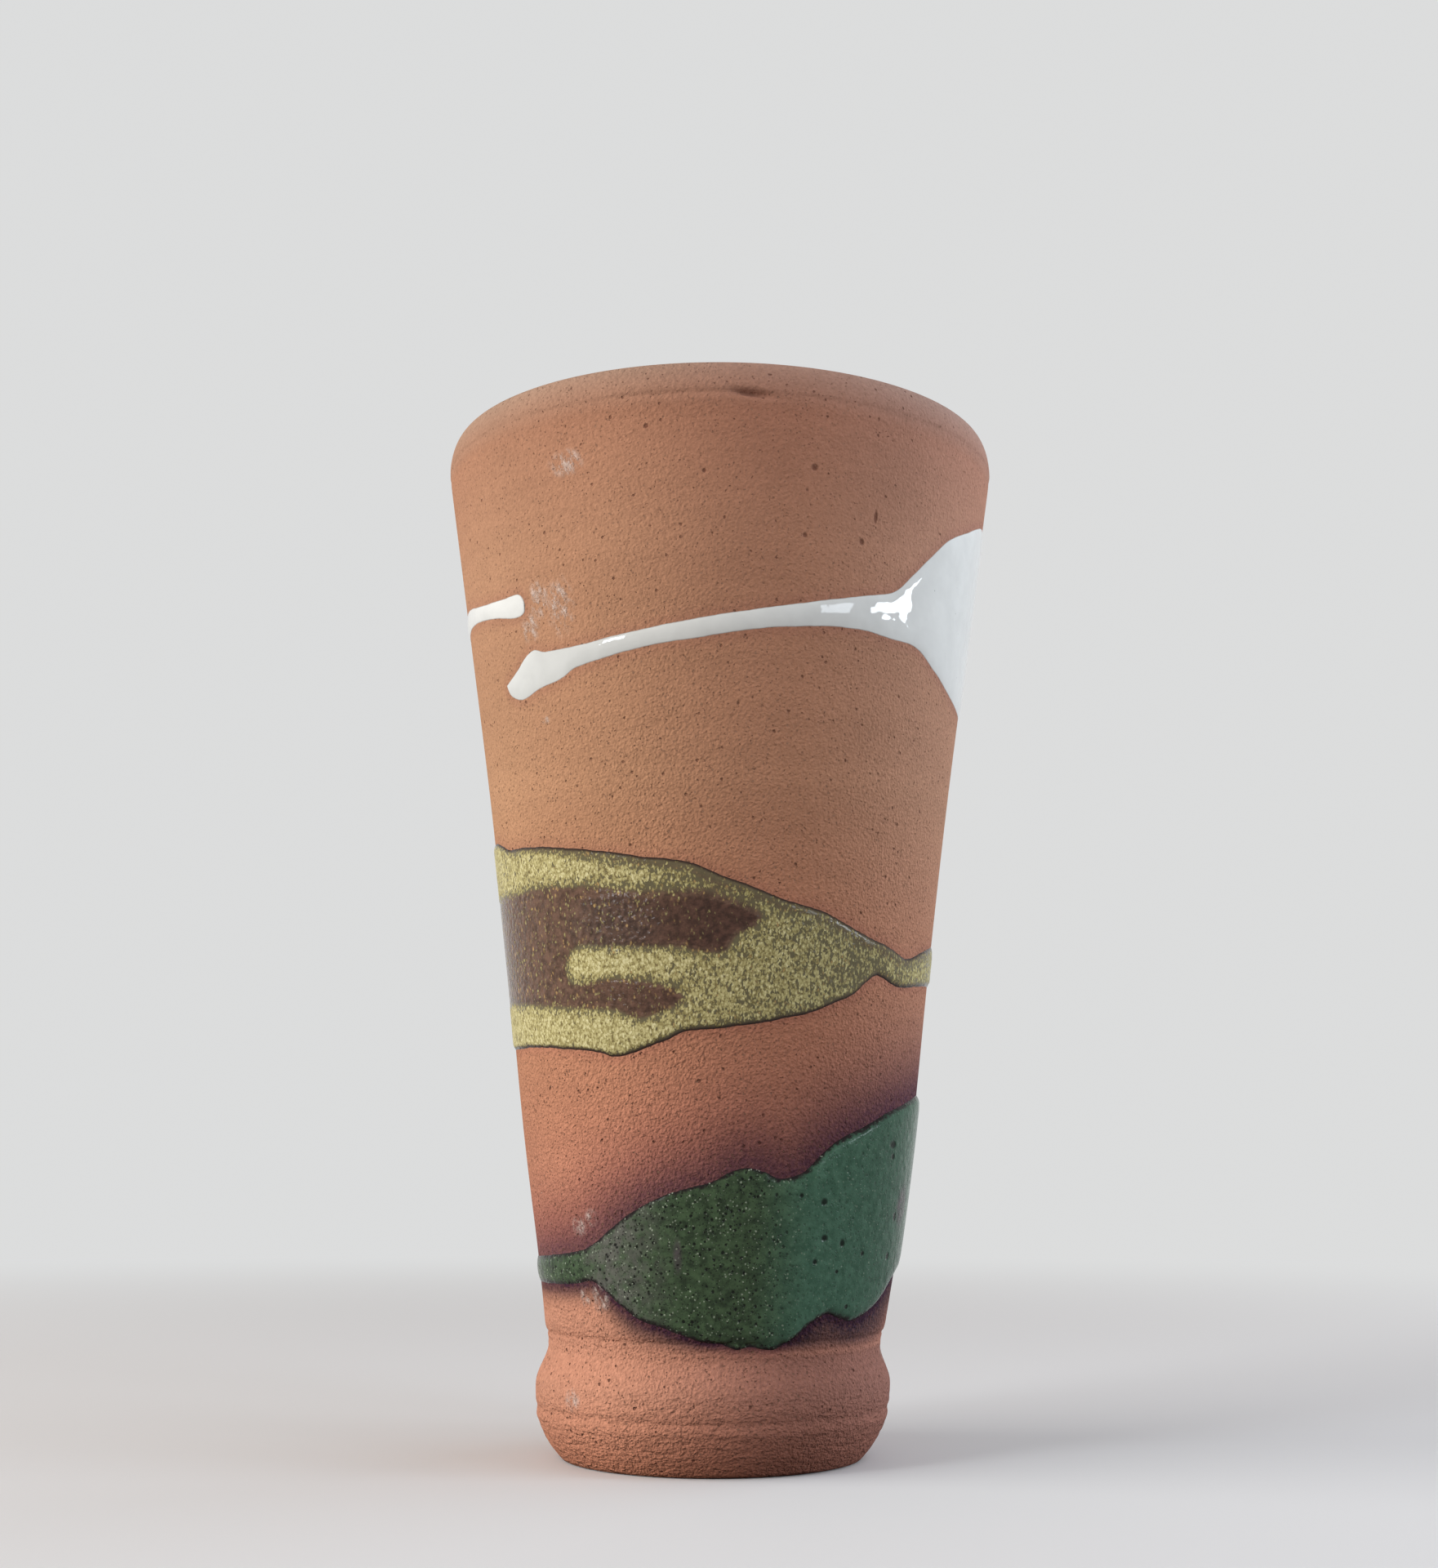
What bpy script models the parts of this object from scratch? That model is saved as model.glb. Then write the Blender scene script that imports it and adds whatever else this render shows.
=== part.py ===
"""Wheel-thrown vase: one grogged clay body, a liner glaze inside and four glazes poured round its wall.

Metres, +Z up. The vase stands on its flat base, with the origin at the centre of that base. Its front
faces -Y, and angles round the wall run in degrees from the front towards the right-hand side (+X).
Run in Blender 4.5; every node is an object in the collection "pottery_vase".
"""

from math import ceil, cos, radians, sin

import bmesh
import bpy

# Clay body
HEIGHT = 0.2000
MOUTH_RADIUS = 0.0559
LIP_HEIGHT = 0.0060
LIP_TURN = 0.0025
LIP_INNER_DROP = 0.0030
WALL = 0.0055
FLOOR = 0.0090
FLOOR_CORNER = 0.0120
SKIRT_HEIGHT = 0.0254
SKIRT_RADIUS = 0.0330
GROOVE_HEIGHT = 0.0212
GROOVE_RADIUS = 0.0320
INCISION_HEIGHT = 0.0228
INCISION_WIDTH = 0.0010
INCISION_DEPTH = 0.0006
ROLL_HEIGHT = 0.0138
ROLL_RADIUS = 0.0340
BASE_RADIUS = 0.0286
BASE_FLARE = 0.90

# How far the thrown wall stands off a straight taper, at even steps from the skirt up to the lip
WALL_DRIFT = (0.0, 0.00036, -0.00030, -0.00060, -0.00033, 0.0)

# Glaze films, each lying this clear of what it was poured on
FIT_GAP = 0.0003
LINER_FILM = 0.0006
LINER_SETBACK = 0.0045
WHITE_FILM = 0.0011
BROWN_FILM = 0.0007
OCHRE_FILM = 0.0004
GREEN_FILM = 0.0011
BEAD_WIDTH = 0.0014
EDGE_FILM_SHARE = 0.35
BEAD_FILM_SHARE = 0.85
BROWN_MARGIN = 0.0011

# Facets
ROUND_STEPS = 60
WALL_ROWS = 8
BORE_ROWS = 6
FOOT_ROWS = 7
ARC_STEPS = 4
FILM_COLUMN = 6.0
FILM_ROW = 0.0140
WELD = 0.00001

# Pour outlines on the unrolled wall: (angle, share of the wall's height from skirt to lip). The upper and
# lower edges are paired point by point, and a smooth curve runs through each. The back is out of sight, so
# each pour is carried round it from one visible end to the other.
WHITE_UPPER = (
    (-56.6, 0.710), (-51, 0.725), (-45, 0.740), (-39, 0.736), (-30, 0.737), (-14, 0.747), (10, 0.767),
    (31, 0.790), (40, 0.802), (50, 0.851), (57, 0.879), (66, 0.903), (82, 0.927), (100, 0.922),
    (125, 0.890), (155, 0.850), (200, 0.825), (250, 0.820), (282, 0.823), (300, 0.810), (309, 0.807),
    (312.5, 0.802), (313.6, 0.792),
)
WHITE_LOWER = (
    (-56.6, 0.710), (-53.5, 0.695), (-50, 0.688), (-43, 0.695), (-32, 0.712), (-14, 0.727), (10, 0.744),
    (31, 0.752), (42, 0.748), (50, 0.742), (58, 0.725), (69, 0.706), (82, 0.698), (100, 0.705),
    (125, 0.735), (155, 0.765), (200, 0.780), (250, 0.788), (282, 0.799), (300, 0.789), (309, 0.781),
    (312.5, 0.784), (313.6, 0.792),
)
BROWN_UPPER = (
    (-180, 0.420), (-150, 0.450), (-125, 0.500), (-100, 0.536), (-78, 0.541), (-60, 0.527), (-45, 0.521),
    (-28, 0.509), (-18, 0.502), (-6, 0.493), (6, 0.472), (20, 0.452), (33, 0.433), (43, 0.419),
    (50, 0.412), (58, 0.403), (66, 0.411), (79, 0.424), (105, 0.430), (140, 0.425), (180, 0.420),
)
BROWN_LOWER = (
    (-180, 0.380), (-150, 0.360), (-125, 0.330), (-100, 0.310), (-78, 0.304), (-60, 0.303), (-45, 0.299),
    (-28, 0.289), (-18, 0.299), (-7, 0.315), (6, 0.321), (20, 0.332), (32, 0.349), (40, 0.369),
    (46, 0.380), (54, 0.370), (66, 0.373), (79, 0.378), (105, 0.382), (140, 0.385), (180, 0.380),
)
# The two bare runs in the ochre, where the brown shows through as a fork of two fingers
UPPER_RUN_UPPER = (
    (-132, 0.420), (-118, 0.457), (-96, 0.474), (-70, 0.479), (-48, 0.479), (-30, 0.472), (-14, 0.462),
    (1, 0.456), (9, 0.442), (10.5, 0.434),
)
UPPER_RUN_LOWER = (
    (-132, 0.420), (-118, 0.388), (-96, 0.374), (-70, 0.370), (-50, 0.376), (-40, 0.404), (-20, 0.403),
    (-3, 0.397), (5, 0.414), (10.5, 0.434),
)
LOWER_RUN_UPPER = (
    (-128, 0.400), (-112, 0.412), (-92, 0.416), (-68, 0.412), (-48, 0.404), (-40, 0.374), (-28, 0.374),
    (-15, 0.368), (-8, 0.350),
)
LOWER_RUN_LOWER = (
    (-128, 0.400), (-112, 0.370), (-92, 0.357), (-68, 0.352), (-48, 0.344), (-36, 0.338), (-22, 0.328),
    (-13, 0.335), (-8, 0.350),
)
GREEN_UPPER = (
    (-180, 0.095), (-145, 0.080), (-110, 0.074), (-80, 0.072), (-53, 0.079), (-40, 0.091), (-30, 0.115),
    (-17, 0.141), (-2, 0.158), (8, 0.172), (18, 0.161), (25, 0.168), (30, 0.186), (36, 0.204),
    (44, 0.215), (53, 0.229), (65, 0.242), (83, 0.252), (105, 0.243), (130, 0.190), (155, 0.125),
    (180, 0.095),
)
GREEN_LOWER = (
    (-180, 0.050), (-145, 0.047), (-110, 0.043), (-80, 0.043), (-50, 0.046), (-41, 0.049), (-31, 0.026),
    (-17, 0.006), (-2, -0.008), (9, -0.011), (18, -0.012), (25, -0.006), (31, 0.008), (37, 0.017),
    (44, 0.011), (53, 0.012), (65, 0.028), (82, 0.053), (105, 0.060), (130, 0.058), (155, 0.053),
    (180, 0.050),
)

# Fired colours, as eight-bit sRGB values, with roughness
CLAY_FINISH = ((172, 120, 92), 0.85)
LINER_FINISH = ((206, 198, 180), 0.25)
WHITE_FINISH = ((222, 221, 216), 0.15)
BROWN_FINISH = ((84, 60, 50), 0.30)
OCHRE_FINISH = ((168, 155, 106), 0.50)
GREEN_FINISH = ((56, 74, 60), 0.20)


def blend(start, end, share):
    """Point the given share of the way from start to end."""
    return tuple(a + (b - a) * share for a, b in zip(start, end))


def cubic(share, start, end, start_slope, end_slope):
    """Cubic curve from start to end with the given slopes per unit of share."""
    rest = 1.0 - share
    ease = share * share * (3.0 - 2.0 * share)
    return start + (end - start) * ease + share * rest * (rest * start_slope - share * end_slope)


def curve_value(values, place):
    """Smooth curve through evenly spaced values, read at a place counted in spans."""
    last = len(values) - 1
    span = min(max(int(place), 0), last - 1)
    before = values[max(span - 1, 0)]
    start, end = values[span], values[span + 1]
    after = values[min(span + 2, last)]
    return cubic(place - span, start, end, (end - before) / 2, (after - start) / 2)


def column_places(upper, lower):
    """Places along two paired edges, counted in spans, close enough to follow the round wall."""
    places = [0.0]
    for span in range(len(upper) - 1):
        sweep = max(edge[span + 1][0] - edge[span][0] for edge in (upper, lower))
        steps = max(2, ceil(sweep / FILM_COLUMN))
        places += [span + i / steps for i in range(1, steps + 1)]
    return places


def curve_points(points, places):
    """Points at the given places along a smooth curve through an edge's points."""
    angles, shares = zip(*points)
    return [(curve_value(angles, place), curve_value(shares, place)) for place in places]


def lip_start():
    """Height at which the wall ends and the lip begins to turn in."""
    return HEIGHT - LIP_HEIGHT


def wall_height(share):
    """Height of a share of the wall, counted from the skirt to the lip."""
    return SKIRT_HEIGHT + share * (lip_start() - SKIRT_HEIGHT)


def wall_radius(z):
    """Outside radius of the flaring wall, carried on as a straight taper below the skirt."""
    share = (z - SKIRT_HEIGHT) / (lip_start() - SKIRT_HEIGHT)
    drift = curve_value(WALL_DRIFT, min(max(share, 0.0), 1.0) * (len(WALL_DRIFT) - 1))
    return SKIRT_RADIUS + share * (MOUTH_RADIUS - SKIRT_RADIUS) + drift


def outer_radius(z):
    """Outside radius of the clay at a height: base, foot roll, groove and wall."""
    taper = (MOUTH_RADIUS - SKIRT_RADIUS) / (lip_start() - SKIRT_HEIGHT)
    stations = (
        (0.0, BASE_RADIUS, BASE_FLARE),
        (ROLL_HEIGHT, ROLL_RADIUS, 0.0),
        (GROOVE_HEIGHT, GROOVE_RADIUS, 0.0),
        (SKIRT_HEIGHT, SKIRT_RADIUS, taper),
    )
    for (low, start, start_slope), (high, end, end_slope) in zip(stations, stations[1:]):
        if z <= high:
            span = high - low
            return cubic((z - low) / span, start, end, start_slope * span, end_slope * span)
    return wall_radius(z)


def arc(centre, radii, start, end):
    """Points (radius, height) on an elliptical arc between two angles in degrees."""
    angles = [radians(start + (end - start) * i / ARC_STEPS) for i in range(ARC_STEPS + 1)]
    return [(centre[0] + radii[0] * cos(a), centre[1] + radii[1] * sin(a)) for a in angles]


def inside_line(inset, top):
    """Inside of the vessel, moved in by an inset: from the axis over the floor and up the wall to a height."""
    floor = FLOOR + inset
    turn = FLOOR_CORNER - inset
    spring = FLOOR + FLOOR_CORNER
    bore = wall_radius(spring) - WALL - inset
    heights = [spring + (top - spring) * i / BORE_ROWS for i in range(1, BORE_ROWS + 1)]
    wall = [(wall_radius(z) - WALL - inset, z) for z in heights]
    return [(0.0, floor)] + arc((bore - turn, spring), (turn, turn), -90, 0) + wall


def clay_profile():
    """Half section of the clay: inside floor and wall, lip, outside wall, groove, foot roll and base."""
    crest = MOUTH_RADIUS - LIP_TURN
    inner_lip = (WALL - LIP_TURN, LIP_INNER_DROP)
    points = inside_line(0.0, lip_start())
    points += arc((crest, HEIGHT - LIP_INNER_DROP), inner_lip, 180, 90)
    points += arc((crest, lip_start()), (LIP_TURN, LIP_HEIGHT), 90, 0)[1:]
    wall = [wall_height(1 - i / WALL_ROWS) for i in range(1, WALL_ROWS + 1)]
    foot = [GROOVE_HEIGHT * (1 - i / FOOT_ROWS) for i in range(FOOT_ROWS + 1)]
    points += [(outer_radius(z), z) for z in wall]
    for rise, cut in ((0.5, 0.0), (0.0, INCISION_DEPTH), (-0.5, 0.0)):
        z = INCISION_HEIGHT + rise * INCISION_WIDTH
        points.append((outer_radius(z) - cut, z))
    points += [(outer_radius(z), z) for z in foot]
    return points + [(0.0, 0.0)]


def liner_profile():
    """Half section of the liner glaze: a thin cup just inside the clay, ending below the lip."""
    top = lip_start() - LINER_SETBACK
    inner = inside_line(FIT_GAP + LINER_FILM, top)
    outer = inside_line(FIT_GAP, top)
    return inner + outer[::-1]


def finish_material(name, finish):
    """Principled material from a fired colour and its roughness."""
    colour, roughness = finish
    linear = [((c / 255 + 0.055) / 1.055) ** 2.4 for c in colour]
    material = bpy.data.materials.new(name)
    material.use_nodes = True
    shader = material.node_tree.nodes["Principled BSDF"]
    shader.inputs["Base Color"].default_value = (*linear, 1.0)
    shader.inputs["Roughness"].default_value = roughness
    shader.inputs["Metallic"].default_value = 0.0
    return material


def new_object(name, mesh, collection):
    """Object of a mesh, linked to a collection."""
    node = bpy.data.objects.new(name, mesh)
    collection.objects.link(node)
    return node


def turned(name, profile, finish, collection):
    """Solid of revolution from a half section that starts and ends on the axis."""
    mesh = bpy.data.meshes.new(name)
    edges = [(i, i + 1) for i in range(len(profile) - 1)]
    mesh.from_pydata([(r, 0.0, z) for r, z in profile], edges, [])
    node = new_object(name, mesh, collection)
    screw = node.modifiers.new("Turn on the wheel", "SCREW")
    screw.steps = ROUND_STEPS
    screw.render_steps = ROUND_STEPS
    screw.use_merge_vertices = True
    screw.merge_threshold = WELD
    screw.use_smooth_shade = True
    mesh.materials.append(finish_material(name, finish))
    return node


def on_wall(angle, share, lift):
    """Point at an angle and a share of the wall's height, lifted off the clay."""
    z = wall_height(share)
    radius = outer_radius(z) + lift
    turn = radians(angle)
    return (radius * sin(turn), -radius * cos(turn), z)


def inset_edges(upper, lower, margin):
    """Pour edges drawn in by a margin up and down the wall."""
    step = margin / (lip_start() - SKIRT_HEIGHT)
    inner_upper = [(angle, share - step) for angle, share in upper]
    inner_lower = [(angle, share + step) for angle, share in lower]
    return inner_upper, inner_lower


def poured(name, upper, lower, lift, film, collection):
    """Glaze film between two edges on the wall, thin along its edges and full behind a rounded bead."""
    places = column_places(upper, lower)
    upper_line = curve_points(upper, places)
    lower_line = curve_points(lower, places)
    tall = max(high[1] - low[1] for high, low in zip(upper_line, lower_line))
    rows = ceil(tall * (lip_start() - SKIRT_HEIGHT) / FILM_ROW) + 2
    columns = len(places) - 1
    bm = bmesh.new()
    film_share = bm.verts.layers.deform.verify()
    bmesh.ops.create_grid(bm, x_segments=columns, y_segments=rows, size=0.5)
    for vert in bm.verts:
        column = round((vert.co.x + 0.5) * columns)
        row = round((vert.co.y + 0.5) * rows)
        low = lower_line[column]
        high = upper_line[column]
        width = (high[1] - low[1]) * (lip_start() - SKIRT_HEIGHT)
        bead = min(BEAD_WIDTH / width, 1 / rows) if width > WELD else 0.0
        across = {0: 0.0, rows: 1.0}.get(row, bead + (1 - 2 * bead) * (row - 1) / (rows - 2))
        vert[film_share][0] = {0: EDGE_FILM_SHARE, 1: BEAD_FILM_SHARE}.get(min(row, rows - row), 1.0)
        vert.co = on_wall(*blend(low, high, across), lift)
    bmesh.ops.remove_doubles(bm, verts=bm.verts, dist=WELD)
    mesh = bpy.data.meshes.new(name)
    bm.to_mesh(mesh)
    bm.free()
    mesh.shade_smooth()
    node = new_object(name, mesh, collection)
    node.vertex_groups.new(name="film")
    solidify = node.modifiers.new("Glaze film", "SOLIDIFY")
    solidify.thickness = film
    solidify.offset = 1.0
    solidify.vertex_group = "film"
    return node


def open_run(coat, upper, lower, lift, cutters):
    """Cut one bare run through a coat, from below its underside to above its face."""
    name = f"{coat.name}_run_{len(coat.modifiers)}"
    cutter = poured(name, upper, lower, lift - FIT_GAP / 2, OCHRE_FILM + FIT_GAP, cutters)
    cutter.modifiers["Glaze film"].vertex_group = ""
    cutter.hide_render = True
    cutter.display_type = "WIRE"
    cut = coat.modifiers.new("Bare run", "BOOLEAN")
    cut.operation = "DIFFERENCE"
    cut.solver = "EXACT"
    cut.object = cutter


def build():
    """Make the vase: the clay, its liner and the glazes in the order they were poured."""
    for old in list(bpy.data.objects):
        bpy.data.objects.remove(old, do_unlink=True)
    vase = bpy.data.collections.new("pottery_vase")
    cutters = bpy.data.collections.new("cutters")
    bpy.context.scene.collection.children.link(vase)
    bpy.context.scene.collection.children.link(cutters)

    turned("clay_body", clay_profile(), CLAY_FINISH, vase)
    turned("liner_glaze", liner_profile(), LINER_FINISH, vase)

    white = poured("white_glaze", WHITE_UPPER, WHITE_LOWER, FIT_GAP, WHITE_FILM, vase)
    brown = poured("brown_glaze", BROWN_UPPER, BROWN_LOWER, FIT_GAP, BROWN_FILM, vase)
    ochre_lift = FIT_GAP + BROWN_FILM + FIT_GAP
    ochre_edges = inset_edges(BROWN_UPPER, BROWN_LOWER, BROWN_MARGIN)
    ochre = poured("ochre_glaze", *ochre_edges, ochre_lift, OCHRE_FILM, vase)
    open_run(ochre, UPPER_RUN_UPPER, UPPER_RUN_LOWER, ochre_lift, cutters)
    open_run(ochre, LOWER_RUN_UPPER, LOWER_RUN_LOWER, ochre_lift, cutters)
    green = poured("green_glaze", GREEN_UPPER, GREEN_LOWER, FIT_GAP, GREEN_FILM, vase)

    finishes = ((white, WHITE_FINISH), (brown, BROWN_FINISH), (ochre, OCHRE_FINISH), (green, GREEN_FINISH))
    for coat, finish in finishes:
        coat.data.materials.append(finish_material(coat.name, finish))


build()
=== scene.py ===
"""Looks of the poured-glaze vase: thrown clay, liner and four glazes, in a plain studio.

Metres, +Z up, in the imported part's own frame. The front of the vase faces -Y, and angles round its wall run
in degrees from the front towards the right (+X). A share of the wall is 0 at the skirt, just above the
foot's groove, and 1 where the lip begins to turn in.
"""

import logging
import math
from dataclasses import dataclass, field
from enum import Enum
from functools import reduce
from typing import Any, Sequence

import bpy
import numpy as np
from mathutils import Matrix, Vector, noise
from mathutils.kdtree import KDTree


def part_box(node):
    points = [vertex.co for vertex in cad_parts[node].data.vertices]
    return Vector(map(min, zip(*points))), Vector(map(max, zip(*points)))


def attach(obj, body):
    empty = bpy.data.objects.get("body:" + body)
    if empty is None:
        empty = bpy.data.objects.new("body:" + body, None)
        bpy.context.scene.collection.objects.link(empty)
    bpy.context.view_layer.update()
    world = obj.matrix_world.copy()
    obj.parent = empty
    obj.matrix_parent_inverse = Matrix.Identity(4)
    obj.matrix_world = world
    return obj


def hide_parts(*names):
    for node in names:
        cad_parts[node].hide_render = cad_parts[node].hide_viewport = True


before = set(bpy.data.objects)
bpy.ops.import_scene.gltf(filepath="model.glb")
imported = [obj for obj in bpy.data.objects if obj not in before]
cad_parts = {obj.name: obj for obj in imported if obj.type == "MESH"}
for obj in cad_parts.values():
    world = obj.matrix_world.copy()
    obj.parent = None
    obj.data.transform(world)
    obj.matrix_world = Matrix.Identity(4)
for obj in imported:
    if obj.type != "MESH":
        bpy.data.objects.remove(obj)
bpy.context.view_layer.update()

BODY = "root"
MM = 0.001
WELD = 1e-6
log = logging.getLogger("vase")

Colour = tuple[int, int, int]
Triple = tuple[float, float, float]
Edge = tuple[tuple[float, float], ...]
Socket = bpy.types.NodeSocket


def fired(colour: Colour) -> tuple[float, float, float, float]:
    """Eight-bit sRGB colour as the linear RGBA that a shader takes."""
    steps = (c / 255 for c in colour)
    return (*(((c + 0.055) / 1.055) ** 2.4 if c > 0.04045 else c / 12.92 for c in steps), 1.0)


def ease(value: np.ndarray, low: float, high: float) -> np.ndarray:
    """Smooth step from 0 at low to 1 at high."""
    share = np.clip((np.asarray(value) - low) / (high - low), 0.0, 1.0)
    return share * share * (3 - 2 * share)


def hump(offset: np.ndarray, half_width: float, power: float = 2.0) -> np.ndarray:
    """1 at no offset, falling off on both sides over about a half width."""
    return np.exp(-(np.abs(offset / half_width) ** power))


def smooth_line(points: np.ndarray, metric: tuple[float, float], steps: int = 16) -> np.ndarray:
    """Smooth curve through points on the unrolled wall.

    Args:
        points: (angle, share) rows.
        metric: length of one unit of angle and of share, so that spans are weighed by true length.
        steps: curve points in each span.

    Returns:
        Curve points as rows, the last given point included.
    """
    pts = np.asarray(points, dtype=float)
    span = np.maximum(np.linalg.norm(np.diff(pts, axis=0) * metric, axis=1), 1e-9)[:, None] ** 0.5
    slope = np.diff(pts, axis=0) / span
    inner = (slope[:-1] * span[1:] + slope[1:] * span[:-1]) / (span[:-1] + span[1:])
    tangent = np.concatenate([slope[:1], inner, slope[-1:]])
    s = np.linspace(0, 1, steps, endpoint=False)[None, :, None]
    start, end = pts[:-1, None], pts[1:, None]
    out, into = (tangent[:-1] * span)[:, None], (tangent[1:] * span)[:, None]
    body = start + (end - start) * s * s * (3 - 2 * s) + s * (1 - s) * ((1 - s) * out - s * into)
    return np.concatenate([body.reshape(-1, 2), pts[-1:]])


def nearest(points: np.ndarray, targets: np.ndarray) -> np.ndarray:
    """Distance from each point to the nearest of the target points.

    Args:
        points: array whose last axis is (x, y, z).
        targets: rows of (x, y, z).

    Returns:
        Distances in the shape of points without its last axis.
    """
    tree = KDTree(len(targets))
    for i, target in enumerate(targets):
        tree.insert(target, i)
    tree.balance()
    flat = points.reshape(-1, 3)
    return np.array([tree.find(p)[2] for p in flat]).reshape(points.shape[:-1])


def inside(angles: np.ndarray, shares: np.ndarray, outline: np.ndarray) -> np.ndarray:
    """Whether points on the unrolled wall lie inside a closed outline.

    Args:
        angles: angles of the points.
        shares: wall shares of the points, in the same shape.
        outline: rows of (angle, share).

    Returns:
        Array of True and False in the shape of angles.
    """
    result = np.zeros(angles.shape, dtype=bool)
    for (a0, s0), (a1, s1) in zip(outline, np.roll(outline, -1, axis=0)):
        if s0 == s1:
            continue
        crosses = (s0 > shares) != (s1 > shares)
        result ^= crosses & (angles < a0 + (shares - s0) * (a1 - a0) / (s1 - s0))
    return result


def waviness(angles: np.ndarray, seed: int, lowest: int, count: int) -> np.ndarray:
    """Seamless waviness round the vase, about -1 to 1.

    Args:
        angles: angles in degrees.
        seed: picks the phases.
        lowest: waves round the vase in the longest wave.
        count: how many waves, each shorter and lower than the last, are laid on each other.

    Returns:
        Waviness at each angle.
    """
    shorter, lower = 1.7, 0.75
    rng = np.random.default_rng(seed)
    total = np.zeros_like(angles, dtype=float)
    for k in range(count):
        waves = round(lowest * shorter**k)
        total += np.sin(np.radians(angles) * waves + rng.uniform(0, 2 * math.pi)) * lower**k
    return total / (1 + lower * (count - 1))


@dataclass(frozen=True)
class ByAngle:
    """A number that changes round the wall: its values at a row of angles, with straight runs between."""

    turns: tuple[float, ...]
    values: tuple[float, ...]

    def at(self, angles: np.ndarray) -> np.ndarray:
        """The number at angles in degrees."""
        return np.interp(angles, self.turns, self.values)


@dataclass(frozen=True)
class Step:
    """Smooth step: a value between low and high gives a number between start and end."""

    low: float
    high: float
    start: float = 0.0
    end: float = 1.0


@dataclass(frozen=True)
class Lumps:
    """Noise from 0 to 1: how wide its lumps are, and the number and strength of the finer ones on them."""

    pitch: float
    detail: float = 2.0
    rough: float = 0.5


@dataclass(frozen=True)
class Specks:
    """Scattered specks: their mean spacing, the largest radius and the share of places that carry one."""

    pitch: float
    size: float
    share: float
    core: float = 0.4
    dwindle: float = 0.65


@dataclass(frozen=True)
class Layer:
    """What lies over a surface in places: its colour, how well it covers and how far it stands out."""

    colour: Colour
    share: float = 1.0
    relief: float = 0.0


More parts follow.
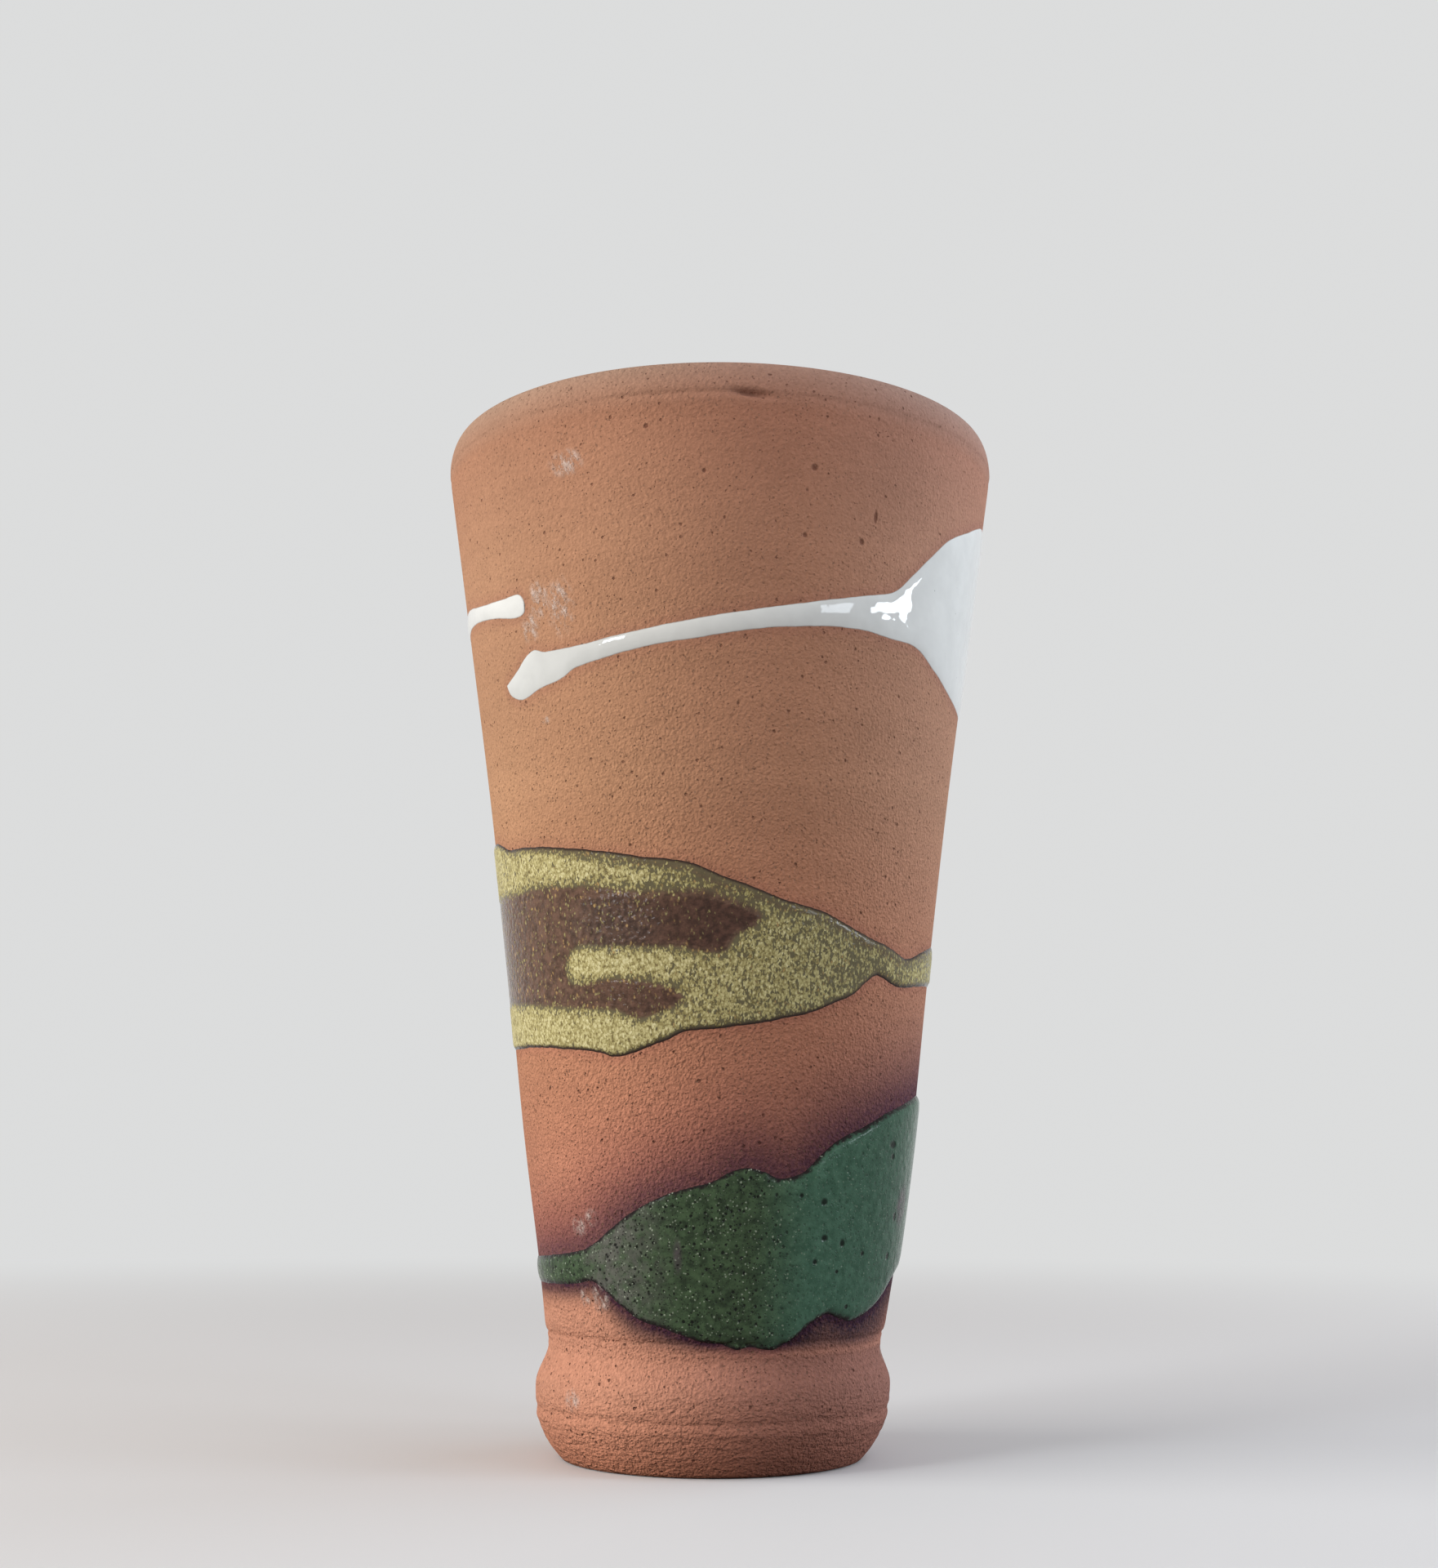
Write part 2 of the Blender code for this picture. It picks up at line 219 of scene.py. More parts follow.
class Board:
    """Lays out one node tree: adds nodes, sets their inputs and joins them."""

    cell_turn: Triple = (0.6, 0.4, 0.9)

    def __init__(self, tree: bpy.types.NodeTree) -> None:
        """Start on an existing tree."""
        self.tree = tree

    def fill(self, node: bpy.types.Node, inputs: dict[Any, Any]) -> None:
        """Set a node's inputs.

        Args:
            node: the node.
            inputs: value to set or socket to join for each input, by name or index.
        """
        for key, value in inputs.items():
            if isinstance(value, Socket):
                self.tree.links.new(value, node.inputs[key])
            else:
                node.inputs[key].default_value = value

    def add(self, kind: str, inputs: dict[Any, Any] | None = None, **settings: Any) -> bpy.types.Node:
        """Add a node.

        Args:
            kind: node type.
            inputs: value or socket for each input, by name or index.
            settings: node properties, set before its inputs.

        Returns:
            The node.
        """
        node = self.tree.nodes.new(kind)
        for name, value in settings.items():
            setattr(node, name, value)
        self.fill(node, inputs or {})
        return node

    def math(self, operation: str, a: Any, b: Any = 0.0, c: Any = 0.0) -> Socket:
        """Result of a Math node."""
        return self.add("ShaderNodeMath", {0: a, 1: b, 2: c}, operation=operation).outputs[0]

    def times(self, *values: Any) -> Socket:
        """Product of numbers."""
        return reduce(lambda a, b: self.math("MULTIPLY", a, b), values)

    def plus(self, *values: Any) -> Socket:
        """Sum of numbers."""
        return reduce(lambda a, b: self.math("ADD", a, b), values)

    def most(self, *values: Any) -> Socket:
        """Largest of numbers."""
        return reduce(lambda a, b: self.math("MAXIMUM", a, b), values)

    def weighted(self, *terms: tuple[Any, Any]) -> Socket:
        """Sum of numbers, each given with its weight."""
        return reduce(lambda total, term: self.math("MULTIPLY_ADD", *term, total), terms, 0.0)

    def swung(self, value: Socket, weight: Any, base: Any) -> Socket:
        """Base plus a weight times how far a value lies from a half."""
        return self.math("MULTIPLY_ADD", self.math("SUBTRACT", value, 0.5), weight, base)

    def vector(self, operation: str, a: Any, b: Any = (0.0, 0.0, 0.0)) -> Socket:
        """Vector result of a Vector Math node."""
        return self.add("ShaderNodeVectorMath", {0: a, 1: b}, operation=operation).outputs[0]

    def length(self, vector: Socket) -> Socket:
        """Length of a vector."""
        return self.add("ShaderNodeVectorMath", {0: vector}, operation="LENGTH").outputs["Value"]

    def scaled(self, colour: Any, by: Any) -> Socket:
        """Colour or vector times a number."""
        return self.add("ShaderNodeVectorMath", {0: colour, "Scale": by}, operation="SCALE").outputs[0]

    def stretched(self, place: Socket, by: Triple) -> Socket:
        """Coordinates times a number along each axis; below 1, what is laid out on them grows longer."""
        return self.vector("MULTIPLY", place, by)

    def turned(self, place: Socket, by: Triple) -> Socket:
        """Coordinates turned about the three axes."""
        inputs = {"Vector": place, "Rotation": by}
        return self.add("ShaderNodeVectorRotate", inputs, rotation_type="EULER_XYZ").outputs[0]

    def split(self, place: Socket) -> Any:
        """The three parts of coordinates."""
        return self.add("ShaderNodeSeparateXYZ", {0: place}).outputs

    def step(self, value: Any, step: Step) -> Socket:
        """A value put through a smooth step."""
        inputs = {"Value": value, 1: step.low, 2: step.high, 3: step.start, 4: step.end}
        return self.add("ShaderNodeMapRange", inputs, interpolation_type="SMOOTHSTEP").outputs[0]

    def mix(self, share: Any, first: Any, second: Any) -> Socket:
        """Colour the given share of the way from first to second."""
        return self.add("ShaderNodeMix", {0: share, 6: first, 7: second}, data_type="RGBA").outputs[2]

    def paint(self, colour: Socket, layer: Layer, mask: Socket) -> Socket:
        """Colour with a layer laid over it by a mask."""
        cover = mask if layer.share == 1.0 else self.times(mask, layer.share)
        return self.mix(cover, colour, fired(layer.colour))

    def noise(self, place: Socket, lumps: Lumps) -> Socket:
        """Noise from 0 to 1."""
        inputs = {"Scale": 1 / lumps.pitch, "Detail": lumps.detail, "Roughness": lumps.rough}
        return self.add("ShaderNodeTexNoise", {"Vector": place, **inputs}).outputs["Fac"]

    def cells(self, place: Socket, pitch: float) -> tuple[Socket, Socket]:
        """Distance to the nearest of scattered seeds.

        Args:
            place: coordinates.
            pitch: mean spacing of the seeds.

        Returns:
            The distance, in pitches, and that seed's random number.
        """
        inputs = {"Vector": self.turned(place, self.cell_turn), "Scale": 1 / pitch}
        node = self.add("ShaderNodeTexVoronoi", inputs)
        channels = self.add("ShaderNodeSeparateColor", {0: node.outputs["Color"]})
        return node.outputs["Distance"], channels.outputs[0]

    def specks(self, place: Socket, specks: Specks) -> Socket:
        """Mask of scattered specks of many sizes.

        Args:
            place: coordinates.
            specks: their spacing, size and share.

        Returns:
            1 in a speck and 0 outside it.
        """
        distance, number = self.cells(place, specks.pitch)
        smaller = self.math("MULTIPLY_ADD", number, -specks.dwindle / specks.share, 1.0)
        edge = specks.size / specks.pitch
        shape = self.step(self.math("DIVIDE", distance, smaller), Step(specks.core * edge, edge, 1.0, 0.0))
        return self.times(shape, self.math("LESS_THAN", number, specks.share))

    def bent(self, place: Socket, pitch: float, amount: float) -> Socket:
        """Coordinates bent by noise, so that what is laid out on them looks uneven.

        Args:
            place: coordinates.
            pitch: how wide the bends are.
            amount: how far they reach.

        Returns:
            The bent coordinates.
        """
        bends = self.add("ShaderNodeTexNoise", {"Vector": place, "Scale": 1 / pitch, "Detail": 1.0})
        offset = self.vector("SUBTRACT", bends.outputs["Color"], (0.5, 0.5, 0.5))
        return self.vector("ADD", place, self.scaled(offset, amount))

    def attribute(self, name: str) -> Socket:
        """A number that the mesh carries at its points."""
        return self.add("ShaderNodeAttribute", attribute_name=name).outputs["Fac"]

    def ramp(self, value: Any, stops: Sequence[tuple[float, Colour]]) -> Socket:
        """Colour read off a row of stops.

        Args:
            value: where to read, from 0 to 1.
            stops: places from 0 to 1 with their colours.

        Returns:
            The colour.
        """
        node = self.add("ShaderNodeValToRGB", {0: value})
        row = node.color_ramp.elements
        row.remove(row[1])
        row[0].position, row[0].color = stops[0][0], fired(stops[0][1])
        for place, colour in stops[1:]:
            row.new(place).color = fired(colour)
        return node.outputs[0]


class Surface(Board):
    """Board of one new material, with its main shader and its object coordinates in metres."""

    def __init__(self, name: str) -> None:
        """Make the material.

        Args:
            name: its name.
        """
        self.material = bpy.data.materials.new(name)
        self.material.use_nodes = True
        super().__init__(self.material.node_tree)
        self.shader = self.tree.nodes["Principled BSDF"]
        self.place = self.add("ShaderNodeTexCoord").outputs["Object"]

    def clouds(self, lumps: Lumps, step: Step) -> Socket:
        """Noise all over the surface, put through a smooth step."""
        return self.step(self.noise(self.place, lumps), step)

    def complete(
        self, colour: Socket, gloss: Any, roughness: Any, height: Socket, depth: float
    ) -> bpy.types.Material:
        """Join the looks to the shader.

        Args:
            colour: colour all over the surface.
            gloss: strength of its reflections.
            roughness: how blurred they are.
            height: fine relief.
            depth: how far one unit of the relief stands out.

        Returns:
            The finished material.
        """
        bump = self.add("ShaderNodeBump", {"Strength": 1.0, "Distance": depth, "Height": height})
        looks = {"Base Color": colour, "Specular IOR Level": gloss, "Roughness": roughness}
        self.fill(self.shader, {**looks, "Normal": bump.outputs[0]})
        return self.material


@dataclass(frozen=True)
class ToolMark:
    """Ring left in the clay by a tool or a finger: its height, depth (minus is a ridge) and half width."""

    height: float
    depth: float
    half_width: float


@dataclass(frozen=True)
class Mark:
    """One small mark on the wall: its angle, share of the wall, half width and half height."""

    angle: float
    share: float
    half_width: float
    half_height: float


def marked(*rows: tuple[float, float, float, float]) -> tuple[Mark, ...]:
    """Marks from rows of angle, share, half width and half height, the last two in millimetres."""
    return tuple(Mark(angle, share, wide * MM, tall * MM) for angle, share, wide, tall in rows)


@dataclass(frozen=True)
class ThrownWall:
    """Outside of the vase as thrown and trimmed: profile, tool marks and a foot trimmed off centre."""

    height: float
    mouth_radius: float
    lip_height: float = 0.0060
    lip_turn: float = 0.0025
    lip_inner_drop: float = 0.0030
    thickness: float = 0.0055
    floor: float = 0.0090
    floor_corner: float = 0.0120
    floor_rings: int = 5
    corner_rings: int = 9
    skirt_height: float = 0.0254
    skirt_radius: float = 0.0330
    drift: tuple[float, ...] = (0.0, 0.00036, -0.00030, -0.00060, -0.00033, 0.0)
    foot: tuple[Triple, ...] = ((0.0, 0.0288, 1.00), (0.0138, 0.0341, 0.0), (0.0210, 0.0320, 0.0))
    tool_marks: tuple[ToolMark, ...] = (
        ToolMark(0.1937, 0.00010, 0.0012),
        ToolMark(0.0234, 0.00028, 0.00034),
        ToolMark(0.0212, -0.00010, 0.0004),
        ToolMark(0.0097, 0.00022, 0.0006),
        ToolMark(0.0078, -0.00018, 0.0008),
        ToolMark(0.0050, 0.00010, 0.0004),
    )
    foot_shift: float = -0.0011
    shift_end: float = 0.0440
    mark_edge: Step = Step(0.35, 1.0, 1.0, 0.0)

    @property
    def lip_start(self) -> float:
        """Height where the wall ends and the lip begins to turn in."""
        return self.height - self.lip_height

    @property
    def rise(self) -> float:
        """Height of the wall from the skirt to the lip."""
        return self.lip_start - self.skirt_height

    @property
    def metric(self) -> tuple[float, float]:
        """Length of one degree round the middle of the wall and of one share up it."""
        return math.radians(1) * (self.mouth_radius + self.skirt_radius) / 2, self.rise

    def at_share(self, share: np.ndarray) -> np.ndarray:
        """Height of a share of the wall."""
        return self.skirt_height + np.asarray(share) * self.rise

    def share_of(self, z: np.ndarray) -> np.ndarray:
        """Share of the wall at a height."""
        return (np.asarray(z) - self.skirt_height) / self.rise

    def taper(self, z: np.ndarray) -> np.ndarray:
        """Radius of the flaring wall without its tool marks, carried on straight past its ends.

        Args:
            z: heights.

        Returns:
            Radius at each height.
        """
        share = self.share_of(z)
        spans = len(self.drift) - 1
        curve = smooth_line(np.stack([np.arange(spans + 1), self.drift], axis=1), (1.0, 1.0))
        drift = np.interp(np.clip(share, 0, 1) * spans, curve[:, 0], curve[:, 1])
        return self.skirt_radius + share * (self.mouth_radius - self.skirt_radius) + drift

    def radius(self, z: np.ndarray) -> np.ndarray:
        """Outside radius with its tool marks.

        Args:
            z: heights from the base to the lip.

        Returns:
            Radius at each height.
        """
        z = np.asarray(z, dtype=float)
        slope = (self.mouth_radius - self.skirt_radius) / self.rise
        stations = (*self.foot, (self.skirt_height, self.skirt_radius, slope))
        result = self.taper(z)
        for (low, start, out), (high, end, into) in zip(stations, stations[1:]):
            span = high - low
            s = np.clip((z - low) / span, 0, 1)
            bend = s * (1 - s) * ((1 - s) * out - s * into) * span
            here = (z >= low) & (z < high)
            result = np.where(here, start + (end - start) * s * s * (3 - 2 * s) + bend, result)
        for mark in self.tool_marks:
            result = result - mark.depth * hump(z - mark.height, mark.half_width)
        return result

    def shift(self, z: np.ndarray) -> np.ndarray:
        """Sideways offset of the foot, which was trimmed a little off centre."""
        return self.foot_shift * ease(self.shift_end - np.asarray(z), 0.0, self.shift_end)

    def place(self, angles: np.ndarray, z: np.ndarray, lift: np.ndarray | float = 0.0) -> np.ndarray:
        """Points on the wall.

        Args:
            angles: degrees from the front.
            z: heights.
            lift: how far off the clay, along the radius.

        Returns:
            (x, y, z) along the last axis.
        """
        turn = np.radians(angles)
        radius = self.radius(z) + lift
        flat = np.broadcast_arrays(radius * np.sin(turn) + self.shift(z), -radius * np.cos(turn), z)
        return np.stack(flat, axis=-1)

    def marks(self, face: Surface, marks: Sequence[Mark], lift: float = 0.0) -> Socket:
        """Mask of single marks on the wall.

        Args:
            face: the surface that is marked.
            marks: the marks.
            lift: how far off the clay that surface lies.

        Returns:
            1 in the middle of each mark, falling to 0 at its edge.
        """
        masks = []
        for mark in marks:
            centre = self.place(np.array(mark.angle), self.at_share(mark.share), lift)
            offset = face.vector("SUBTRACT", face.place, tuple(centre))
            unit = face.vector("DIVIDE", offset, (mark.half_width, mark.half_width, mark.half_height))
            masks.append(face.step(face.length(unit), self.mark_edge))
        return face.most(*masks)

    def inside_line(self, inset: float, top: float, rows: int) -> list[tuple[float, float]]:
        """Inside of the vessel from the axis over the floor and up to a height.

        Args:
            inset: how far inside the bare clay.
            top: height where the line ends.
            rows: steps up the wall.

        Returns:
            (radius, height) points.
        """
        spring = self.floor + self.floor_corner
        turn = self.floor_corner - inset
        bore = float(self.taper(spring)) - self.thickness - inset
        flat = [(r, self.floor + inset) for r in np.linspace(0.0, bore - turn, self.floor_rings)]
        bends = np.radians(np.linspace(-90, 0, self.corner_rings))[1:]
        corner = [(bore - turn + turn * math.cos(a), spring + turn * math.sin(a)) for a in bends]
        heights = np.linspace(spring, top, rows + 1)[1:]
        wall = [(r - self.thickness - inset, z) for r, z in zip(self.taper(heights), heights)]
        return flat + corner + wall


def bake(piece: bpy.types.Object) -> None:
    """Turn a piece's modifiers into its plain mesh and remove them.

    Args:
        piece: the piece.
    """
    bpy.context.view_layer.update()
    finished = piece.evaluated_get(bpy.context.evaluated_depsgraph_get())
    mesh = bpy.data.meshes.new_from_object(finished)
    piece.modifiers.clear()
    piece.data = mesh
    mesh.name = piece.name


def new_piece(name: str, points: Any, edges: Any, faces: Any) -> bpy.types.Object:
    """Make an object and link it to the scene.

    Args:
        name: its name and its mesh's.
        points: rows of (x, y, z).
        edges: pairs of points.
        faces: points round each face.

    Returns:
        The object.
    """
    mesh = bpy.data.meshes.new(name)
    mesh.from_pydata(points, edges, faces)
    piece = bpy.data.objects.new(name, mesh)
    bpy.context.scene.collection.objects.link(piece)
    return piece


def store(mesh: bpy.types.Mesh, name: str, values: np.ndarray) -> None:
    """Keep a number at each point of a mesh."""
    layer = mesh.attributes.new(name, "FLOAT", "POINT")
    layer.data.foreach_set("value", np.ascontiguousarray(values, dtype=np.float32).ravel())


def points_of(mesh: bpy.types.Mesh) -> np.ndarray:
    """Read a mesh's points.

    Args:
        mesh: the mesh.

    Returns:
        Rows of (x, y, z).
    """
    flat = np.empty(len(mesh.vertices) * 3, dtype=np.float32)
    mesh.vertices.foreach_get("co", flat)
    return flat.reshape(-1, 3).astype(float)


def bearing(points: np.ndarray) -> np.ndarray:
    """Angle of each point round the axis, in degrees from the front."""
    return np.degrees(np.arctan2(points[:, 0], -points[:, 1]))


class Tree:
    """A geometry node tree with named inputs, and the modifier that runs it on a piece."""

    def __init__(self, name: str, inputs: dict[str, str]) -> None:
        """Make a tree with a geometry input, more named inputs and one output.

        Args:
            name: name of the tree.
            inputs: socket type of each further input, by its name.
        """
        self.tree = bpy.data.node_groups.new(name, "GeometryNodeTree")
        self.keys: dict[str, str] = {}
        sockets = self.tree.interface
        sockets.new_socket("Geometry", in_out="INPUT", socket_type="NodeSocketGeometry")
        for label, kind in inputs.items():
            self.keys[label] = sockets.new_socket(label, in_out="INPUT", socket_type=kind).identifier
        sockets.new_socket("Geometry", in_out="OUTPUT", socket_type="NodeSocketGeometry")
        self.board = Board(self.tree)
        self.given = self.board.add("NodeGroupInput").outputs

    def end(self, geometry: Socket, place: Socket, material: Socket) -> None:
        """Close the tree: place the points, weld, realize, shade smooth and set the material.

        Args:
            geometry: what has been made so far.
            place: place of each of its points.
            material: material to set.
        """
        last = geometry
        for kind, inputs in (
            ("GeometryNodeSetPosition", {"Position": place}),
            ("GeometryNodeMergeByDistance", {"Distance": WELD}),
            ("GeometryNodeRealizeInstances", {}),
            ("GeometryNodeSetShadeSmooth", {}),
            ("GeometryNodeSetMaterial", {"Material": material}),
        ):
            last = self.board.add(kind, {"Geometry": last, **inputs}).outputs[0]
        self.board.add("NodeGroupOutput", {0: last})

    def run(self, piece: bpy.types.Object, values: dict[str, Any]) -> None:
        """Run the tree on a piece and keep the result as its mesh.

        Args:
            piece: the piece.
            values: what the tree's named inputs are set to.
        """
        modifier = piece.modifiers.new(self.tree.name, "NODES")
        modifier.node_group = self.tree
        for label, value in values.items():
            modifier[self.keys[label]] = value
        bake(piece)


class PotterTrees:
    """The two shaping steps: throwing a profile on the wheel and laying a glaze sheet round the wall."""

    def __init__(self) -> None:
        """Build both trees."""
        self.wheel = self._throw()
        self.lay = self._lay()

    @staticmethod
    def _round(board: Board, turn: Socket, radius: Socket, shift: Socket, height: Socket) -> Socket:
        """Place round the axis.

        Args:
            board: where the nodes go.
            turn: turn from the front.
            radius: distance from the axis.
            shift: how far the place is moved sideways.
            height: height.

        Returns:
            (x, y, z).
        """
        x = board.plus(board.times(radius, board.math("SINE", turn)), shift)
        y = board.times(radius, board.math("COSINE", turn), -1.0)
        return board.add("ShaderNodeCombineXYZ", {0: x, 1: y, 2: height}).outputs[0]

    def _throw(self) -> Tree:
        """Make the wheel.

        Returns:
            Tree that spins a profile, whose points hold radius, sideways shift and height.
        """
        tree = Tree("Throw on the wheel", {"Segments": "NodeSocketInt", "Clay": "NodeSocketMaterial"})
        board, given = tree.board, tree.given
        size = board.add("GeometryNodeAttributeDomainSize", {0: given["Geometry"]})
        columns = board.plus(given["Segments"], 1.0)
        inputs = {"Vertices X": size.outputs["Point Count"], "Vertices Y": columns}
        grid = board.add("GeometryNodeMeshGrid", inputs)
        index = board.add("GeometryNodeInputIndex").outputs[0]
        row = board.math("FLOOR", board.math("DIVIDE", board.plus(index, 0.5), columns))
        column = board.math("SUBTRACT", index, board.times(row, columns))
        turn = board.times(board.math("DIVIDE", column, given["Segments"]), 2 * math.pi)
        place = board.add("GeometryNodeInputPosition").outputs[0]
        inputs = {"Geometry": given["Geometry"], "Value": place, "Index": row}
        sample = board.add("GeometryNodeSampleIndex", inputs, data_type="FLOAT_VECTOR")
        place = self._round(board, turn, *board.split(sample.outputs[0]))
        tree.end(grid.outputs[0], place, given["Clay"])
        return tree

    def _lay(self) -> Tree:
        """Make the step that rolls a glaze.

        Returns:
            Tree that rolls a flat sheet, whose points hold turn, radius and height, round the wall.
        """
        tree = Tree("Lay the glaze", {"Glaze": "NodeSocketMaterial"})
        board, given = tree.board, tree.given
        turn, radius, height = board.split(board.add("GeometryNodeInputPosition").outputs[0])
        shift = board.add("GeometryNodeInputNamedAttribute", {0: "shift"}, data_type="FLOAT").outputs[0]
        place = self._round(board, turn, radius, shift, height)
        tree.end(given["Geometry"], place, given["Glaze"])
        return tree


def thrown(
    trees: PotterTrees, name: str, line: list[Triple], segments: int, clay: bpy.types.Material
) -> bpy.types.Object:
    """Throw a piece on the wheel.

    Args:
        trees: shaping steps.
        name: piece name.
        line: its half section as (radius, sideways shift, height) points.
        segments: flats round it.
        clay: material.

    Returns:
        The piece.
    """
    piece = new_piece(name, line, [(i, i + 1) for i in range(len(line) - 1)], [])
    trees.wheel.run(piece, {"Segments": segments, "Clay": clay})
    return piece


@dataclass(frozen=True)
class ClayFinish:
    """Grogged red clay, fired bare: sandy lip, warm wall, salmon foot, grit, pits, scuffs and flash, with
    painted light and shade.
    """

    by_height: tuple[tuple[float, Colour], ...] = (
        (0.00, (198, 131, 103)), (0.07, (202, 143, 117)), (0.13, (196, 138, 113)), (0.30, (191, 131, 104)),
        (0.45, (188, 132, 101)), (0.62, (186, 138, 106)), (0.85, (182, 134, 105)), (0.955, (175, 125, 99)),
        (0.978, (172, 131, 109)), (1.00, (171, 138, 118)),
    )
    # Painted light and shade across the front, by x: lighter left of the middle, darker right of it, bluer
    # further right.
    painted_light_by_side: tuple[tuple[float, tuple[float, ...]], ...] = (
        (-0.046, (1.00, 1.05, 1.05, 1.0)), (-0.024, (1.05, 1.06, 1.06, 1.0)),
        (0.012, (0.93, 0.88, 0.92, 1.0)), (0.048, (1.00, 1.05, 1.20, 1.0)),
    )
    blush_and_edge_shade: Triple = (0.45, 0.65, 0.47)
    flash: Triple = (0.27, 0.08, 0.08)
    scorch_and_shade: Triple = (0.77, 0.74, 0.64)
    darkest: Triple = (0.08, 0.08, 0.08)
    stain_rags: Lumps = Lumps(0.0008)
    stain_share: Step = Step(0.25, 0.75, 0.90, 1.08)
    clouds: Lumps = Lumps(0.030, 3.0)
    cloud_tone: Step = Step(0.3, 0.7, 0.90, 1.00)
    rings: Lumps = Lumps(0.0035)
    ring_stretch: Triple = (0.06, 0.06, 1.0)
    ring_tone: Step = Step(0.3, 0.7, 0.97, 1.03)
    ring_relief: float = 0.25
    grain: Lumps = Lumps(0.00064, 1.0)
    grain_relief: float = 0.75
    bend: tuple[float, float] = (0.0004, 0.0004)
    sand_pitch: float = 0.00050
    sand_tone: float = 0.34
    sand_relief: float = -0.40
    speckle_by_height: Step = Step(0.05, 0.17, 0.48, 0.28)
    grog: Layer = Layer((228, 194, 162), 0.40, 0.6)
    grog_specks: Specks = Specks(0.0008, 0.00021, 0.5)
    # Painted shade: pits and pinholes are darkened where shade falls in them, and sunk in the relief.
    pit_shade: Layer = Layer((92, 52, 42), 0.70, -1.1)
    small_pits: Specks = Specks(0.0008, 0.00025, 0.85)
    small_depth: float = 0.8
    large_pits: Specks = Specks(0.0019, 0.00038, 0.65)
    pits_by_height: Step = Step(0.05, 0.13, 1.0, 0.88)
    holes: tuple[Mark, ...] = marked(
        (18.8, 0.921, 0.85, 0.85), (33.2, 0.878, 0.55, 1.90), (17.4, 0.847, 0.60, 0.60),
        (30.2, 0.848, 0.65, 0.80), (-14.2, 0.963, 0.60, 0.60), (-3.0, 0.912, 0.50, 0.50),
    )
    scuffs: tuple[Mark, ...] = marked(
        (-31.8, 0.936, 5.0, 3.0), (-42.0, 0.795, 3.4, 4.6), (-36.0, 0.780, 4.0, 7.0),
        (-43.0, 0.660, 1.2, 1.0), (-45.5, 0.108, 2.4, 2.4), (-40.0, 0.118, 2.0, 2.0),
        (-45.0, 0.036, 1.8, 3.0), (-38.5, 0.034, 2.6, 3.4), (-48.6, -0.076, 2.6, 2.6),
        (82.0, -0.036, 2.6, 1.8), (-45.5, 0.764, 3.6, 3.4),
    )
    scuff: Layer = Layer((226, 210, 200), 0.68, 1.0)
    stroke_slant: Triple = (0.0, 0.6, 0.0)
    stroke_stretch: Triple = (1.0, 1.0, 0.4)
    flakes: Lumps = Lumps(0.0012, 4.0, 0.75)
    flaked: Step = Step(0.43, 0.68)
    drag: Lumps = Lumps(0.0007)
    drag_stretch: Triple = (0.35, 0.35, 1.0)
    drag_by_height: Step = Step(0.011, 0.019, 1.2, 0.0)
    lumps: Lumps = Lumps(0.0010, 1.0)
    lumps_by_height: Step = Step(0.12, 0.17, 0.0, 0.8)
    gloss: float = 0.10
    roughness: Step = Step(0.2, 0.8, 0.92, 0.78)
    relief_by_height: Step = Step(0.06, 0.19, 2.6, 1.00)
    relief: float = 0.00018

    def material(self, wall: ThrownWall) -> bpy.types.Material:
        """Clay material.

        Args:
            wall: gives the places of single marks.

        Returns:
            The material, which reads the mesh's blush, flash and scorch numbers.
        """
        face = Surface("bare_clay")
        across, _, height = face.split(face.place)
        uneven = face.bent(face.place, *self.bend)
        grain = face.noise(face.place, self.grain)
        apart, sand = face.cells(uneven, self.sand_pitch)
        rings = face.noise(face.stretched(face.place, self.ring_stretch), self.rings)
        colour = face.ramp(face.math("DIVIDE", height, wall.height), self.by_height)
        # Painted light and shade across the front, laid into the clay colour.
        painted_side_light: Any = self.painted_light_by_side[0][1]
        for (start, _), (end, tint) in zip(self.painted_light_by_side, self.painted_light_by_side[1:]):
            painted_side_light = face.mix(face.step(across, Step(start, end)), painted_side_light, tint)
        speckle = face.swung(sand, self.sand_tone, grain)
        speckle = face.swung(speckle, face.step(height, self.speckle_by_height), 1.0)
        clouds = face.clouds(self.clouds, self.cloud_tone)
        tone = face.times(clouds, face.step(rings, self.ring_tone), speckle)
        colour = self._stained_and_shaded(face, face.scaled(face.vector("MULTIPLY", colour, painted_side_light), tone))

        grog = face.specks(uneven, self.grog_specks)
        small = face.times(face.specks(uneven, self.small_pits), self.small_depth)
        pits = face.most(face.specks(uneven, self.large_pits), small)
        pits = face.times(pits, face.step(height, self.pits_by_height))
        pits = face.most(pits, wall.marks(face, self.holes))
        strokes = face.stretched(face.turned(uneven, self.stroke_slant), self.stroke_stretch)
        flaked = face.step(face.noise(strokes, self.flakes), self.flaked)
        scuffs = face.times(wall.marks(face, self.scuffs), flaked)
        # The pits' dark colour is painted shade.
        for layer, mask in ((self.grog, grog), (self.pit_shade, pits), (self.scuff, scuffs)):
            colour = face.paint(colour, layer, mask)

        bumps = face.weighted(
            (grain, self.grain_relief), (apart, self.sand_relief),
            (grog, self.grog.relief), (pits, self.pit_shade.relief),
            (face.noise(face.place, self.lumps), face.step(height, self.lumps_by_height)),
            (face.noise(face.stretched(uneven, self.drag_stretch), self.drag),
             face.step(height, self.drag_by_height)),
        )
        bumps = face.times(bumps, face.step(height, self.relief_by_height))
        bumps = face.weighted((bumps, 1.0), (rings, self.ring_relief), (scuffs, self.scuff.relief))
        return face.complete(colour, self.gloss, face.step(grain, self.roughness), bumps, self.relief)

